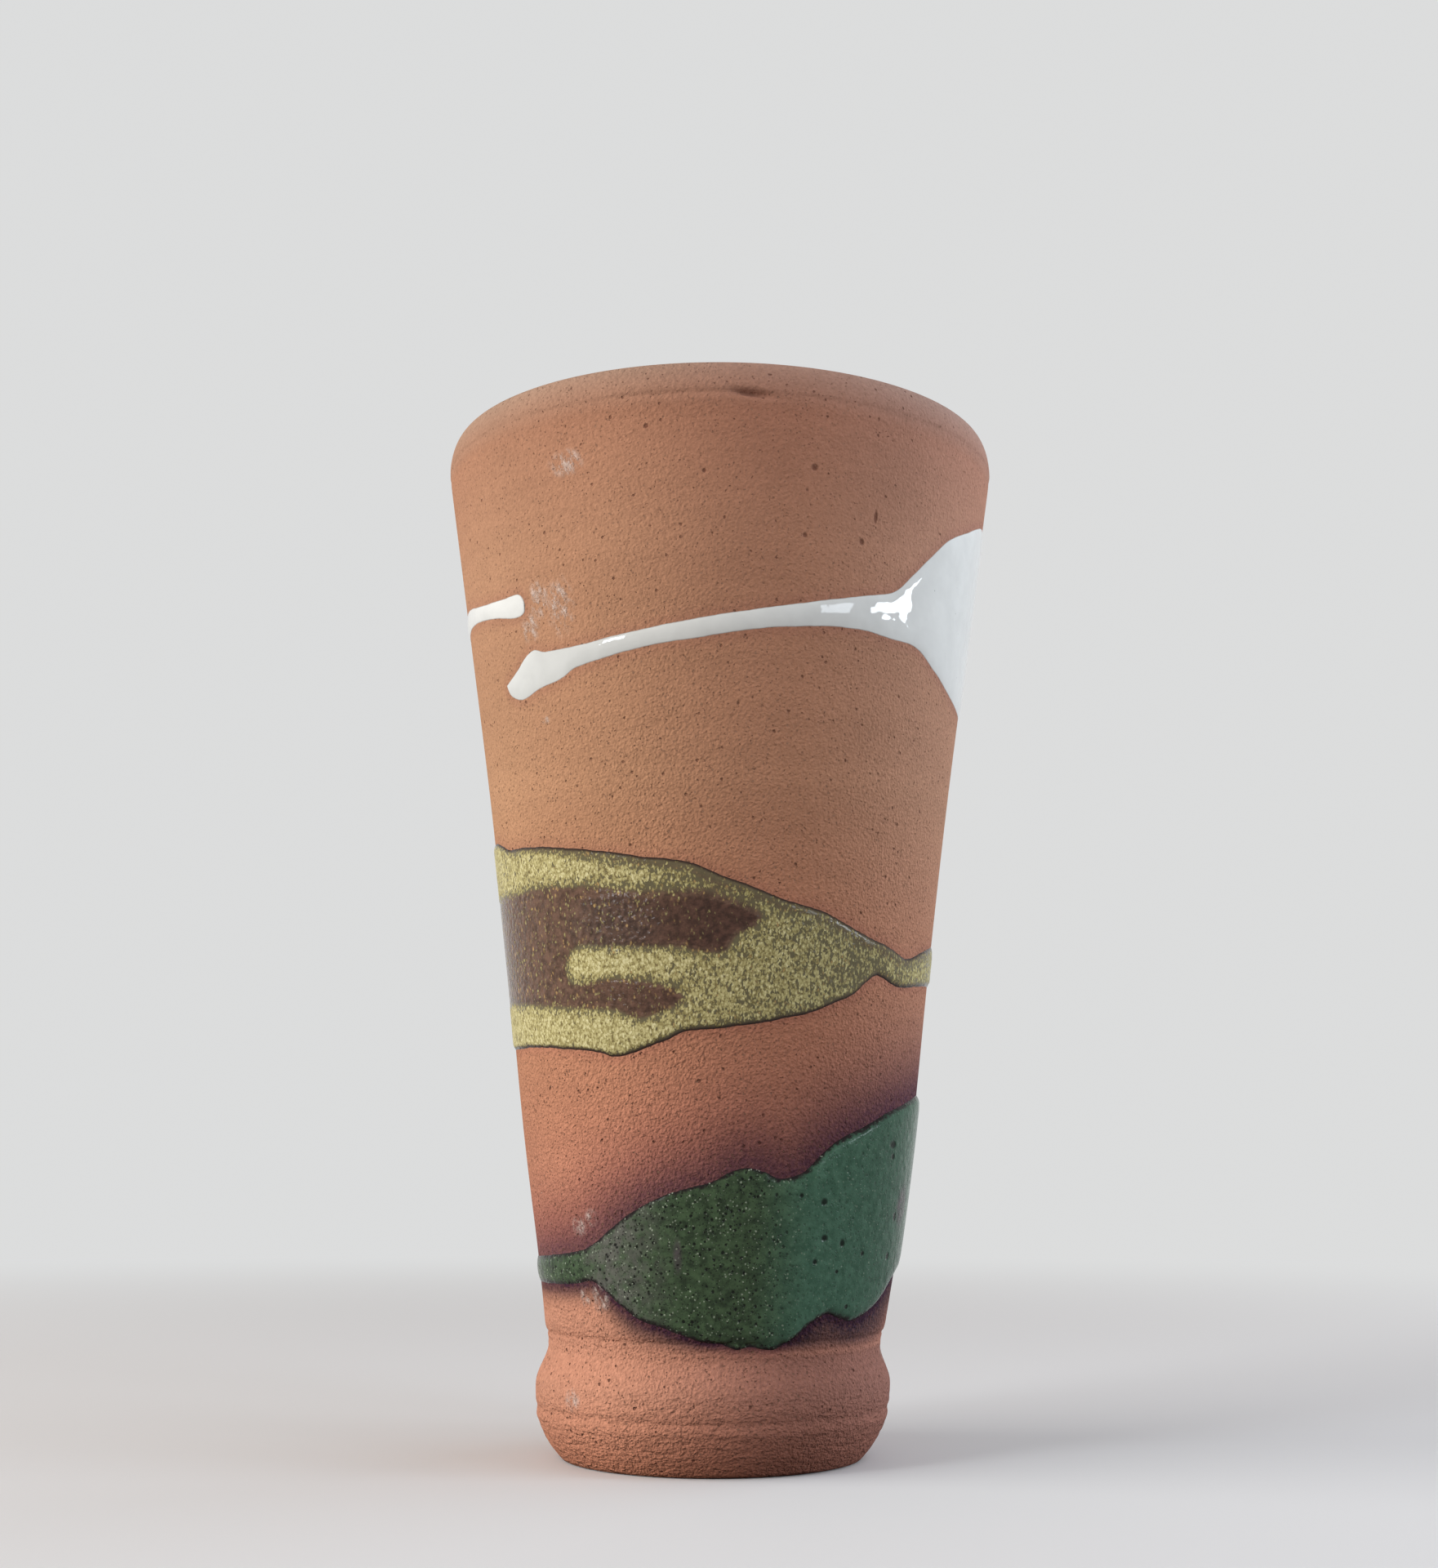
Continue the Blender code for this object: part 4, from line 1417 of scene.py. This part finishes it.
@dataclass
class ClayBody:
    """The thrown and trimmed clay vessel."""

    wall: ThrownWall
    finish: ClayFinish = ClayFinish()
    flashing_and_shade: FlashingAndPaintedShade = FlashingAndPaintedShade()
    segments: int = 360
    rows: tuple[tuple[float, float], ...] = (
        (0.1885, 0.00032), (0.0274, 0.00140), (0.0200, 0.00036),
        (0.0110, 0.0006), (0.0050, 0.0004), (0.0, 0.0006),
    )
    inside_rows: int = 14
    lip_rows: int = 24
    base_rings: tuple[float, ...] = (0.97, 0.6, 0.3, 0.0)
    dent_angle: float = 5.8
    dent_height: float = 0.1934
    dent_slope: float = -0.00011
    dent_size: tuple[float, float] = (3.4, 0.00060)
    dent_depth: float = 0.00130
    # Painted shade in the dent under the lip, kept in the number that scorches the clay.
    dent_painted_shade: float = 0.45
    crease_lift: float = 0.0004
    crease_waver: float = 0.0005
    crease_waves: tuple[int, int, int] = (5, 3, 4)
    crease_gaps: tuple[float, float] = (-0.25, 0.5)
    crease_gap_waves: tuple[int, int, int] = (6, 2, 5)
    crease_width: float = 0.0007
    crease_depth: float = 0.00024
    outer_share: float = 0.6
    drag_bottom: float = 0.0004
    drag_top: float = 0.0185
    drag_depth: float = 0.00007
    drag_fade: tuple[float, float] = (0.0015, 0.006)
    drag_waves: Triple = (340, 340, 640)
    drag_finer: tuple[float, float] = (2.1, 0.6)

    def profile(self) -> list[Triple]:
        """Draw the half section from the inside floor over the lip to the base.

        Returns:
            (radius, sideways shift, height) points.
        """
        wall = self.wall
        crest = wall.mouth_radius - wall.lip_turn
        line = wall.inside_line(0.0, wall.lip_start, self.inside_rows)
        for start, end, rows, turn, rise in (
            (180, 90, self.lip_rows // 2, wall.thickness - wall.lip_turn, wall.lip_inner_drop),
            (90, 0, self.lip_rows, wall.lip_turn, wall.lip_height),
        ):
            bends = np.radians(np.linspace(start, end, rows))[1:]
            springing = wall.height - rise
            line += [(crest + turn * math.cos(a), springing + rise * math.sin(a)) for a in bends]
        high = wall.lip_start
        for low, row in self.rows:
            heights = np.linspace(high, low, round((high - low) / row) + 1)[1:]
            line += list(zip(wall.radius(heights), heights))
            high = low
        base = line[-1][0]
        line += [(base * share, 0.0) for share in self.base_rings]
        return [(r, float(wall.shift(z)), z) for r, z in line]

    def build(self, trees: PotterTrees, pours: dict[str, Pour]) -> bpy.types.Object:
        """Throw the body, have it stained near the glazes and paint shade on it.

        Args:
            trees: shaping steps.
            pours: the glazes, by node name.

        Returns:
            The finished piece.
        """
        clay = self.finish.material(self.wall)
        piece = thrown(trees, "thrown_clay_body", self.profile(), self.segments, clay)
        # The dent's painted shade is kept with the kiln marks.
        self.flashing_and_shade.stain_and_shade(piece.data, pours, self.dent_painted_shade * self._dented(points_of(piece.data)))
        self._press(piece.data)
        return piece

    def _outer(self, points: np.ndarray) -> np.ndarray:
        """Whether each point is far enough out to be on the outside of the lip."""
        radius = np.hypot(points[:, 0], points[:, 1])
        return radius > self.wall.mouth_radius - self.outer_share * self.wall.thickness

    def _dented(self, points: np.ndarray) -> np.ndarray:
        """Lay out the dent under the lip.

        Args:
            points: rows of (x, y, z).

        Returns:
            How far each point lies in the dent, from 0 outside it to 1 in its middle.
        """
        turn = bearing(points) - self.dent_angle
        rise = points[:, 2] - self.dent_height - self.dent_slope * turn
        return hump(turn, self.dent_size[0]) * hump(rise, self.dent_size[1]) * self._outer(points)

    def _press(self, mesh: bpy.types.Mesh) -> None:
        """Press the dent, the crease beside it and the trimming tool's drag marks on the foot into the mesh.

        Args:
            mesh: the clay's mesh.
        """
        points = points_of(mesh)
        x, y, z = points.T
        radius, angles = np.hypot(x, y), bearing(points)
        waver = self.crease_waver * waviness(angles, *self.crease_waves)
        line = self.dent_height + self.crease_lift + waver
        crease = self.crease_depth * ease(waviness(angles, *self.crease_gap_waves), *self.crease_gaps)
        crease *= hump(z - line, self.crease_width) * self._outer(points)
        dent = np.maximum(self.dent_depth * self._dented(points), crease)
        outside = radius > self.wall.foot[0][1] - self.drag_bottom
        finer, share = self.drag_finer
        drag = np.zeros_like(z)
        for i in np.flatnonzero((z > self.drag_bottom) & (z < self.drag_top) & outside):
            wide = Vector(points[i] * self.drag_waves)
            drag[i] = noise.noise(wide) + share * noise.noise(wide * finer)
        rise, fall = self.drag_fade
        drag *= self.drag_depth * ease(z, 0.0, rise) * ease(self.drag_top - z, 0.0, fall)
        scale = (radius - dent + drag) / np.maximum(radius, WELD)
        moved = np.stack([x * scale, y * scale, z], axis=1).astype(np.float32)
        mesh.vertices.foreach_set("co", moved.ravel())
        mesh.update()


@dataclass
class LinerGlaze:
    """The glaze inside the vessel."""

    wall: ThrownWall
    finish: LinerFinish = LinerFinish()
    film: float = 0.0006
    gap: float = 0.0003
    setback: float = 0.0045
    segments: int = 120
    face_rows: int = 40
    back_rows: int = 10

    def build(self, trees: PotterTrees) -> bpy.types.Object:
        """Throw the liner as a thin closed cup.

        Args:
            trees: shaping steps.

        Returns:
            The finished piece.
        """
        top = self.wall.lip_start - self.setback
        face = self.wall.inside_line(self.gap + self.film, top, self.face_rows)
        back = self.wall.inside_line(self.gap, top, self.back_rows)
        rim = ((face[-1][0] + back[-1][0]) / 2, top + self.film / 2)
        line = [(r, 0.0, z) for r, z in face + [rim] + back[::-1]]
        return thrown(trees, "liner_glaze_inside", line, self.segments, self.finish.material())


@dataclass
class WhiteGlaze:
    """White glaze trailed round the upper wall, from a blunt start to a dab that ends beside it."""

    wall: ThrownWall
    finish: WhiteFinish = WhiteFinish()
    film: float = 0.00035
    under: float = -0.0002
    bead_width: float = 0.0034
    thinnest: float = 0.0001
    # Greyer towards the trail's start on the left, set by angle.
    depth: ByAngle = ByAngle((-57, -30, -5, 15, 314), (0.2, 0.3, 0.75, 1.0, 1.0))
    upper: Edge = (
        (-56.6, 0.710), (-51.4, 0.723), (-48.2, 0.734), (-44.9, 0.740), (-41.8, 0.736), (-36.2, 0.735),
        (-31.2, 0.736), (-22.9, 0.741), (-14.3, 0.747), (-5.4, 0.754), (9.9, 0.767), (20.8, 0.778),
        (31.2, 0.790), (39.9, 0.802), (45.2, 0.826), (50.3, 0.851), (56.7, 0.879), (65.4, 0.901),
        (81, 0.930), (100, 0.922), (125, 0.890), (155, 0.850), (200, 0.825), (250, 0.820), (281.9, 0.823),
        (292.8, 0.814), (300.7, 0.809), (306.6, 0.807), (311.7, 0.806), (313.2, 0.799), (313.6, 0.792),
    )
    lower: Edge = (
        (-56.6, 0.710), (-55.2, 0.697), (-50.4, 0.688), (-44.2, 0.695), (-36.9, 0.702), (-33.5, 0.710),
        (-30.7, 0.713), (-24.9, 0.718), (-14.1, 0.727), (-5.5, 0.732), (9.6, 0.744), (15.4, 0.747),
        (23.7, 0.751), (32.9, 0.752), (38.8, 0.749), (48.6, 0.746), (56.8, 0.728), (68.1, 0.708),
        (79.6, 0.700), (100, 0.705), (125, 0.735), (155, 0.765), (200, 0.780), (250, 0.788), (282.9, 0.799),
        (291.5, 0.796), (299.9, 0.790), (311.3, 0.780), (313.2, 0.784), (313.6, 0.792),
    )

    def __post_init__(self) -> None:
        """Lay out the pour."""
        self.pour = Pour(self.wall, self.upper, self.lower, ring=False, seed=11, wobble=0.00010)

    def build(self, trees: PotterTrees) -> bpy.types.Object:
        """Lay the white glaze round the wall.

        Args:
            trees: shaping steps.

        Returns:
            The finished piece.
        """
        pour = self.pour
        shoulder = np.clip((pour.high - pour.low) / 2, self.thinnest, self.bead_width)
        film = self.film * (shoulder / self.bead_width) ** 0.5
        lift = bead(np.minimum(pour.z - pour.low, pour.high - pour.z), film, shoulder)
        return pour.lay(
            trees, "white_glaze_trail", lift, self.under, self.finish.material(),
            reach=pour.reach(), depth=self.depth.at(pour.angles),
        )


@dataclass
class MiddleGlazes:
    """The middle pour: brown glaze round the wall, and ochre over it that leaves a two-fingered fork bare.

    Fades and margins are in millimetres.
    """

    wall: ThrownWall
    finish: GrainFinish = GrainFinish()
    brown_film: float = 0.00036
    brown_under: float = -0.0002
    ochre_step: float = 0.00007
    ochre_under: float = 0.0001
    ochre_sink: float = 0.00004
    sink_reach: float = 0.0006
    step_reach: float = 0.001
    level_yellow: float = 0.45
    full_yellow: float = 0.80
    bead_width: float = 0.0014
    fork_fade: ByAngle = ByAngle((-180, -40, -25, -4, 12, 180), (1.6, 1.6, 3.0, 4.4, 2.0, 1.6))
    lower_fade: float = 1.6
    lower_top: float = 0.43
    fork_bleed: float = 1.4
    margin_start: float = 0.1
    margin: ByAngle = ByAngle((-180, -70, -50, -20, 20, 50, 180), (1.6, 1.6, 2.4, 3.6, 4.2, 3.4, 1.6))
    lower_margin: ByAngle = ByAngle((-180, -70, -50, -20, 20, 50, 180), (1.0, 0.8, 0.9, 1.3, 1.3, 1.3, 1.0))
    sparse: ByAngle = ByAngle((-180, -68, -50, 0, 25, 60, 180), (0.3, 0.4, 0.04, 0.06, 0.3, 0.35, 0.3))
    lower_sparse: float = 0.15
    full: ByAngle = ByAngle(
        (-180, -25, -5, 5, 18, 30, 38, 46, 60, 180),
        (1.02, 1.02, 0.90, 0.86, 0.78, 0.68, 0.50, 0.46, 0.80, 0.95),
    )
    fuller_below: float = 0.08
    fuller_end: float = -12.0
    bare: ByAngle = ByAngle((-180, -45, -15, 5, 180), (0.10, 0.10, 0.06, 0.03, 0.10))
    upper: Edge = (
        (-180, 0.420), (-150, 0.450), (-125, 0.500), (-100, 0.536), (-78.1, 0.544), (-64.2, 0.528),
        (-56, 0.526), (-45.3, 0.521), (-36, 0.515), (-27.1, 0.509), (-18.7, 0.502), (-11.5, 0.498),
        (-5.8, 0.493), (-0.4, 0.482), (6.3, 0.472), (14, 0.459), (19.7, 0.452), (27.5, 0.444),
        (33.5, 0.433), (43.2, 0.419), (49.3, 0.413), (57.2, 0.403), (60, 0.404), (64.7, 0.410),
        (79.3, 0.424), (105, 0.430), (140, 0.425), (180, 0.420),
    )
    lower: Edge = (
        (-180, 0.380), (-150, 0.360), (-125, 0.330), (-100, 0.310), (-76, 0.304), (-58.7, 0.303),
        (-45, 0.299), (-32.8, 0.294), (-28.9, 0.289), (-24.3, 0.291), (-18.9, 0.298), (-13.3, 0.306),
        (-9.1, 0.314), (-2.2, 0.317), (4.1, 0.320), (9.4, 0.323), (16.7, 0.329), (24.1, 0.336),
        (32.7, 0.350), (37.6, 0.359), (41.4, 0.372), (44.9, 0.380), (47.9, 0.378), (51.8, 0.372),
        (55.6, 0.370), (71.2, 0.376), (82.9, 0.379), (105, 0.382), (140, 0.385), (180, 0.380),
    )
    fork: Edge = (
        (-132, 0.410), (-118, 0.457), (-96, 0.474), (-75.1, 0.479), (-62, 0.478), (-48.4, 0.479),
        (-30.1, 0.472), (-21.6, 0.465), (-13.7, 0.462), (-4.1, 0.461), (1.6, 0.455), (10.2, 0.439),
        (9.5, 0.427), (4.7, 0.415), (1.7, 0.398), (-4.2, 0.397), (-9.9, 0.402), (-18, 0.403),
        (-28.9, 0.405), (-38.1, 0.406), (-41.6, 0.388), (-40.5, 0.373), (-31.6, 0.374), (-24.6, 0.374),
        (-14.9, 0.368), (-10.4, 0.361), (-8.2, 0.349), (-12.2, 0.337), (-20.7, 0.327), (-27.4, 0.336),
        (-37.2, 0.339), (-49.3, 0.344), (-72.5, 0.353), (-96, 0.358), (-118, 0.372), (-132, 0.410),
    )

    def __post_init__(self) -> None:
        """Lay out the pour."""
        self.pour = Pour(
            self.wall, self.upper, self.lower, ring=True, seed=23, wobble=0.00016, inner_rows=56
        )

    def _yellow(self, reach: np.ndarray) -> np.ndarray:
        """Share of ochre grains.

        Args:
            reach: distance of each of the pour's points from its nearest edge.

        Returns:
            Share at each point, from nearly 0 in the fork and along the rims to about 1 in the full coat.
        """
        wall, pour = self.wall, self.pour
        z, angles = pour.z, np.broadcast_to(pour.angles, pour.z.shape)
        shares = wall.share_of(z)
        outline = smooth_line(np.array(self.fork), wall.metric)
        gap = nearest(wall.place(angles, z), wall.place(outline[:, 0], wall.at_share(outline[:, 1]))) / MM
        depth = np.where(inside(angles, shares, outline), gap, -gap)
        fade = np.where(shares > self.lower_top, self.fork_fade.at(angles), self.lower_fade)
        coat = 1 - ease(depth / fade, -1.0, self.fork_bleed / fade)
        top = (z - pour.low) > (pour.high - z)
        margin = np.where(top, self.margin.at(angles), self.lower_margin.at(angles)) * MM
        rim = ease(reach / margin, self.margin_start, 1.0)
        rim = rim + (1 - rim) * np.where(top, self.sparse.at(angles), self.lower_sparse)
        full = self.full.at(angles) + np.where(top | (angles > self.fuller_end), 0.0, self.fuller_below)
        bare = self.bare.at(angles)
        return bare + (full - bare) * coat * rim

    def build(self, trees: PotterTrees) -> list[tuple[bpy.types.Object, Coat]]:
        """Lay the brown glaze, then the ochre, which dips under the brown inside the fork.

        Args:
            trees: shaping steps.

        Returns:
            Both pieces with their coats.
        """
        reach = self.pour.reach()
        yellow = self._yellow(reach)
        brown = bead(reach, self.brown_film, self.bead_width)
        level = np.clip((yellow - self.level_yellow) / (self.full_yellow - self.level_yellow), -1, 1)
        ochre = brown + self.ochre_step * level * ease(reach, 0, self.step_reach)
        ochre -= self.ochre_sink * (1 - ease(reach, 0, self.sink_reach))
        pieces = []
        for coat, lift, under in (
            (Coat.BROWN, brown, self.brown_under), (Coat.OCHRE, ochre, self.ochre_under),
        ):
            glaze = self.finish.material(coat, self.wall)
            name = f"{coat.value}_pour"
            pieces.append((self.pour.lay(trees, name, lift, under, glaze, reach=reach, yellow=yellow), coat))
        return pieces


@dataclass
class GreenGlaze:
    """Green glaze poured round the bottom of the wall: a wide splash on the right and a thin tail."""

    wall: ThrownWall
    finish: GreenFinish = GreenFinish()
    film: float = 0.00045
    lobe_film: float = 0.00085
    under: float = -0.0002
    bead_width: float = 0.0022
    lobe_start: tuple[float, float] = (8, 30)
    lobe_end: tuple[float, float] = (110, 140)
    thin_start: tuple[float, float] = (-48, -36)
    thin_end: tuple[float, float] = (-34, -9)
    upper: Edge = (
        (-180, 0.095), (-145, 0.080), (-110, 0.074), (-81.6, 0.072), (-53.5, 0.079), (-44.7, 0.084),
        (-38.7, 0.093), (-34.7, 0.103), (-29.9, 0.115), (-23, 0.130), (-16.7, 0.141), (-9.5, 0.150),
        (-1.3, 0.158), (3.4, 0.168), (7.9, 0.172), (13, 0.168), (17.8, 0.161), (24.6, 0.168), (29.8, 0.186),
        (36.4, 0.204), (43.9, 0.215), (52.7, 0.229), (64.8, 0.242), (83.1, 0.254), (105, 0.243),
        (130, 0.190), (155, 0.125), (180, 0.095),
    )
    lower: Edge = (
        (-180, 0.050), (-145, 0.047), (-110, 0.043), (-76.2, 0.043), (-50.2, 0.046), (-41.5, 0.050),
        (-36.1, 0.040), (-30.8, 0.026), (-24.3, 0.012), (-17.5, 0.005), (-11.2, -0.002), (-3.9, -0.010),
        (1.7, -0.012), (7, -0.018), (11.3, -0.015), (18.5, -0.019), (22.4, -0.013), (25.3, -0.008),
        (30.7, 0.007), (36.7, 0.017), (42.1, 0.012), (48.2, 0.008), (55.5, 0.014), (64.8, 0.028),
        (71.7, 0.044), (82, 0.056), (105, 0.060), (130, 0.058), (155, 0.053), (180, 0.050),
    )

    def __post_init__(self) -> None:
        """Lay out the pour."""
        self.pour = Pour(self.wall, self.upper, self.lower, ring=True, seed=37, wobble=0.00014)

    def build(self, trees: PotterTrees) -> bpy.types.Object:
        """Lay the green glaze round the wall.

        Args:
            trees: shaping steps.

        Returns:
            The finished piece.
        """
        angles = self.pour.angles
        reach = self.pour.reach()
        lobe = ease(angles, *self.lobe_start) * (1 - ease(angles, *self.lobe_end))
        thin = ease(angles, *self.thin_start) * (1 - ease(angles, *self.thin_end))
        lift = bead(reach, self.film + (self.lobe_film - self.film) * lobe, self.bead_width)
        return self.pour.lay(
            trees, "green_glaze_splash", lift, self.under, self.finish.material(self.wall),
            reach=reach, lobe=lobe, thin=thin,
        )


@dataclass(frozen=True)
class Lamp:
    """Soft rectangular lamp that faces the middle of the vase, mirrored in its glazes or not."""

    name: str
    place: Triple
    size: tuple[float, float]
    power: float
    colour: Triple
    mirrored: bool
    target: Triple = (0.0, 0.0, 0.12)

    def hang(self) -> None:
        """Put the lamp in the scene."""
        data = bpy.data.lights.new(self.name, "AREA")
        data.shape = "RECTANGLE"
        data.size, data.size_y = self.size
        data.energy = self.power
        data.color = self.colour
        lamp = bpy.data.objects.new(self.name, data)
        aim = (Vector(self.target) - Vector(self.place)).to_track_quat("-Z", "Y")
        lamp.matrix_world = Matrix.Translation(self.place) @ aim.to_matrix().to_4x4()
        lamp.visible_camera = False
        lamp.visible_glossy = self.mirrored
        bpy.context.scene.collection.objects.link(lamp)


@dataclass
class Studio:
    """Pale floor, plain soft light and the camera."""

    image: tuple[int, int] = (1761, 1920)
    focal_pixels: float = 2493.1
    sensor: float = 36.0
    near_clip: float = 0.01
    camera_distance: float = 0.40782
    camera_height: float = 0.05684
    camera_pitch: float = 10.30
    camera_roll: float = 0.16
    backdrop: Triple = (0.715, 0.72, 0.72)
    ambient: Triple = (0.326, 0.289, 0.268)
    floor_radius: float = 5.0
    floor_corners: int = 128
    floor_drop: float = -0.0002
    floor_colour: float = 0.80
    floor_bounce: float = 0.12
    floor_roughness: float = 0.8
    floor_gloss: float = 0.1
    floor_fade: Step = Step(0.22, 0.80)
    lamps: tuple[Lamp, ...] = (
        Lamp("left_softbox", (-1.20, -0.44, 0.40), (1.3, 1.0), 20.8, (1.0, 0.985, 0.955), False),
        Lamp("left_window", (-0.92, -0.74, 0.50), (0.24, 0.22), 2.4, (0.86, 0.93, 1.0), True),
        Lamp("right_window", (1.00, -0.19, 0.27), (0.39, 0.14), 3.2, (0.84, 0.92, 1.0), True),
        Lamp("right_window_side", (0.79, -0.66, 0.27), (0.20, 0.26), 1.2, (0.84, 0.92, 1.0), True),
        Lamp("right_rear_wall", (1.06, 0.56, 0.34), (1.0, 0.8), 7.0, (0.82, 0.89, 1.0), False),
        Lamp("right_upper", (0.20, -0.12, 0.34), (0.12, 0.12), 0.17, (0.62, 0.80, 1.0), False),
    )

    def build(self) -> None:
        """Set up everything round the vase."""
        self._world()
        self._floor()
        for lamp in self.lamps:
            lamp.hang()
        self._camera()
        bpy.context.scene.view_settings.view_transform = "Standard"

    @staticmethod
    def _shown(board: Board) -> Socket:
        """1 for rays that show the surround, to the eye or in a reflection, and 0 for rays that light."""
        path = board.add("ShaderNodeLightPath").outputs
        return board.most(path["Is Camera Ray"], path["Is Glossy Ray"], path["Is Transmission Ray"])

    def _seen(self, board: Board) -> Socket:
        """Colour of the surround: pale to the eye and in reflections, plain ambient as light."""
        return board.mix(self._shown(board), (*self.ambient, 1.0), (*self.backdrop, 1.0))

    def _world(self) -> None:
        """Make the even surround."""
        world = bpy.data.worlds.new("studio")
        world.use_nodes = True
        bpy.context.scene.world = world
        board = Board(world.node_tree)
        board.fill(world.node_tree.nodes["Background"], {"Color": self._seen(board)})

    def _floor(self) -> None:
        """Make the round pale floor, which fades into the surround far from the vase."""
        turns = np.linspace(0, 2 * math.pi, self.floor_corners, endpoint=False)
        reach = self.floor_radius
        rim = [(reach * math.cos(a), reach * math.sin(a), self.floor_drop) for a in turns]
        floor = new_piece("studio_floor", rim, [], [list(range(len(rim)))])
        face = Surface("studio_floor")
        brighter = self.floor_colour - self.floor_bounce
        tone = face.math("MULTIPLY_ADD", self._shown(face), brighter, self.floor_bounce)
        looks = {"Roughness": self.floor_roughness, "Specular IOR Level": self.floor_gloss}
        face.fill(face.shader, {"Base Color": tone, **looks})
        far = face.step(face.length(face.place), self.floor_fade)
        glow = face.add("ShaderNodeEmission", {"Color": self._seen(face)})
        blend = face.add("ShaderNodeMixShader", {0: far, 1: face.shader.outputs[0], 2: glow.outputs[0]})
        face.fill(face.tree.nodes["Material Output"], {"Surface": blend.outputs[0]})
        floor.data.materials.append(face.material)

    def _camera(self) -> None:
        """Set the camera at the photograph's angle."""
        data = bpy.data.cameras.new("camera")
        data.sensor_width = self.sensor
        data.lens = self.focal_pixels / max(self.image) * self.sensor
        data.clip_start = self.near_clip
        camera = bpy.data.objects.new("camera", data)
        stand = Matrix.Translation((0, -self.camera_distance, self.camera_height))
        pitch = Matrix.Rotation(math.radians(90 + self.camera_pitch), 4, "X")
        roll = Matrix.Rotation(math.radians(self.camera_roll), 4, "Z")
        camera.matrix_world = stand @ pitch @ roll
        bpy.context.scene.collection.objects.link(camera)
        bpy.context.scene.camera = camera


def main() -> None:
    """Build the studio and the vase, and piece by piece."""
    logging.basicConfig(level=logging.INFO, format="%(name)s: %(message)s")
    Studio().build()
    low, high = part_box("clay_body")
    wall = ThrownWall(height=high[2] - low[2], mouth_radius=(high[0] - low[0]) / 2)
    trees = PotterTrees()
    white, middle, green = WhiteGlaze(wall), MiddleGlazes(wall), GreenGlaze(wall)
    pours = {"white_glaze": white.pour, "brown_glaze": middle.pour, "green_glaze": green.pour}
    dress(ClayBody(wall).build(trees, pours), "clay_body")
    dress(LinerGlaze(wall).build(trees), "liner_glaze")
    dress(white.build(trees), "white_glaze")
    for piece, coat in middle.build(trees):
        dress(piece, coat.value)
    dress(green.build(trees), "green_glaze")


if __name__ == "__main__":
    main()
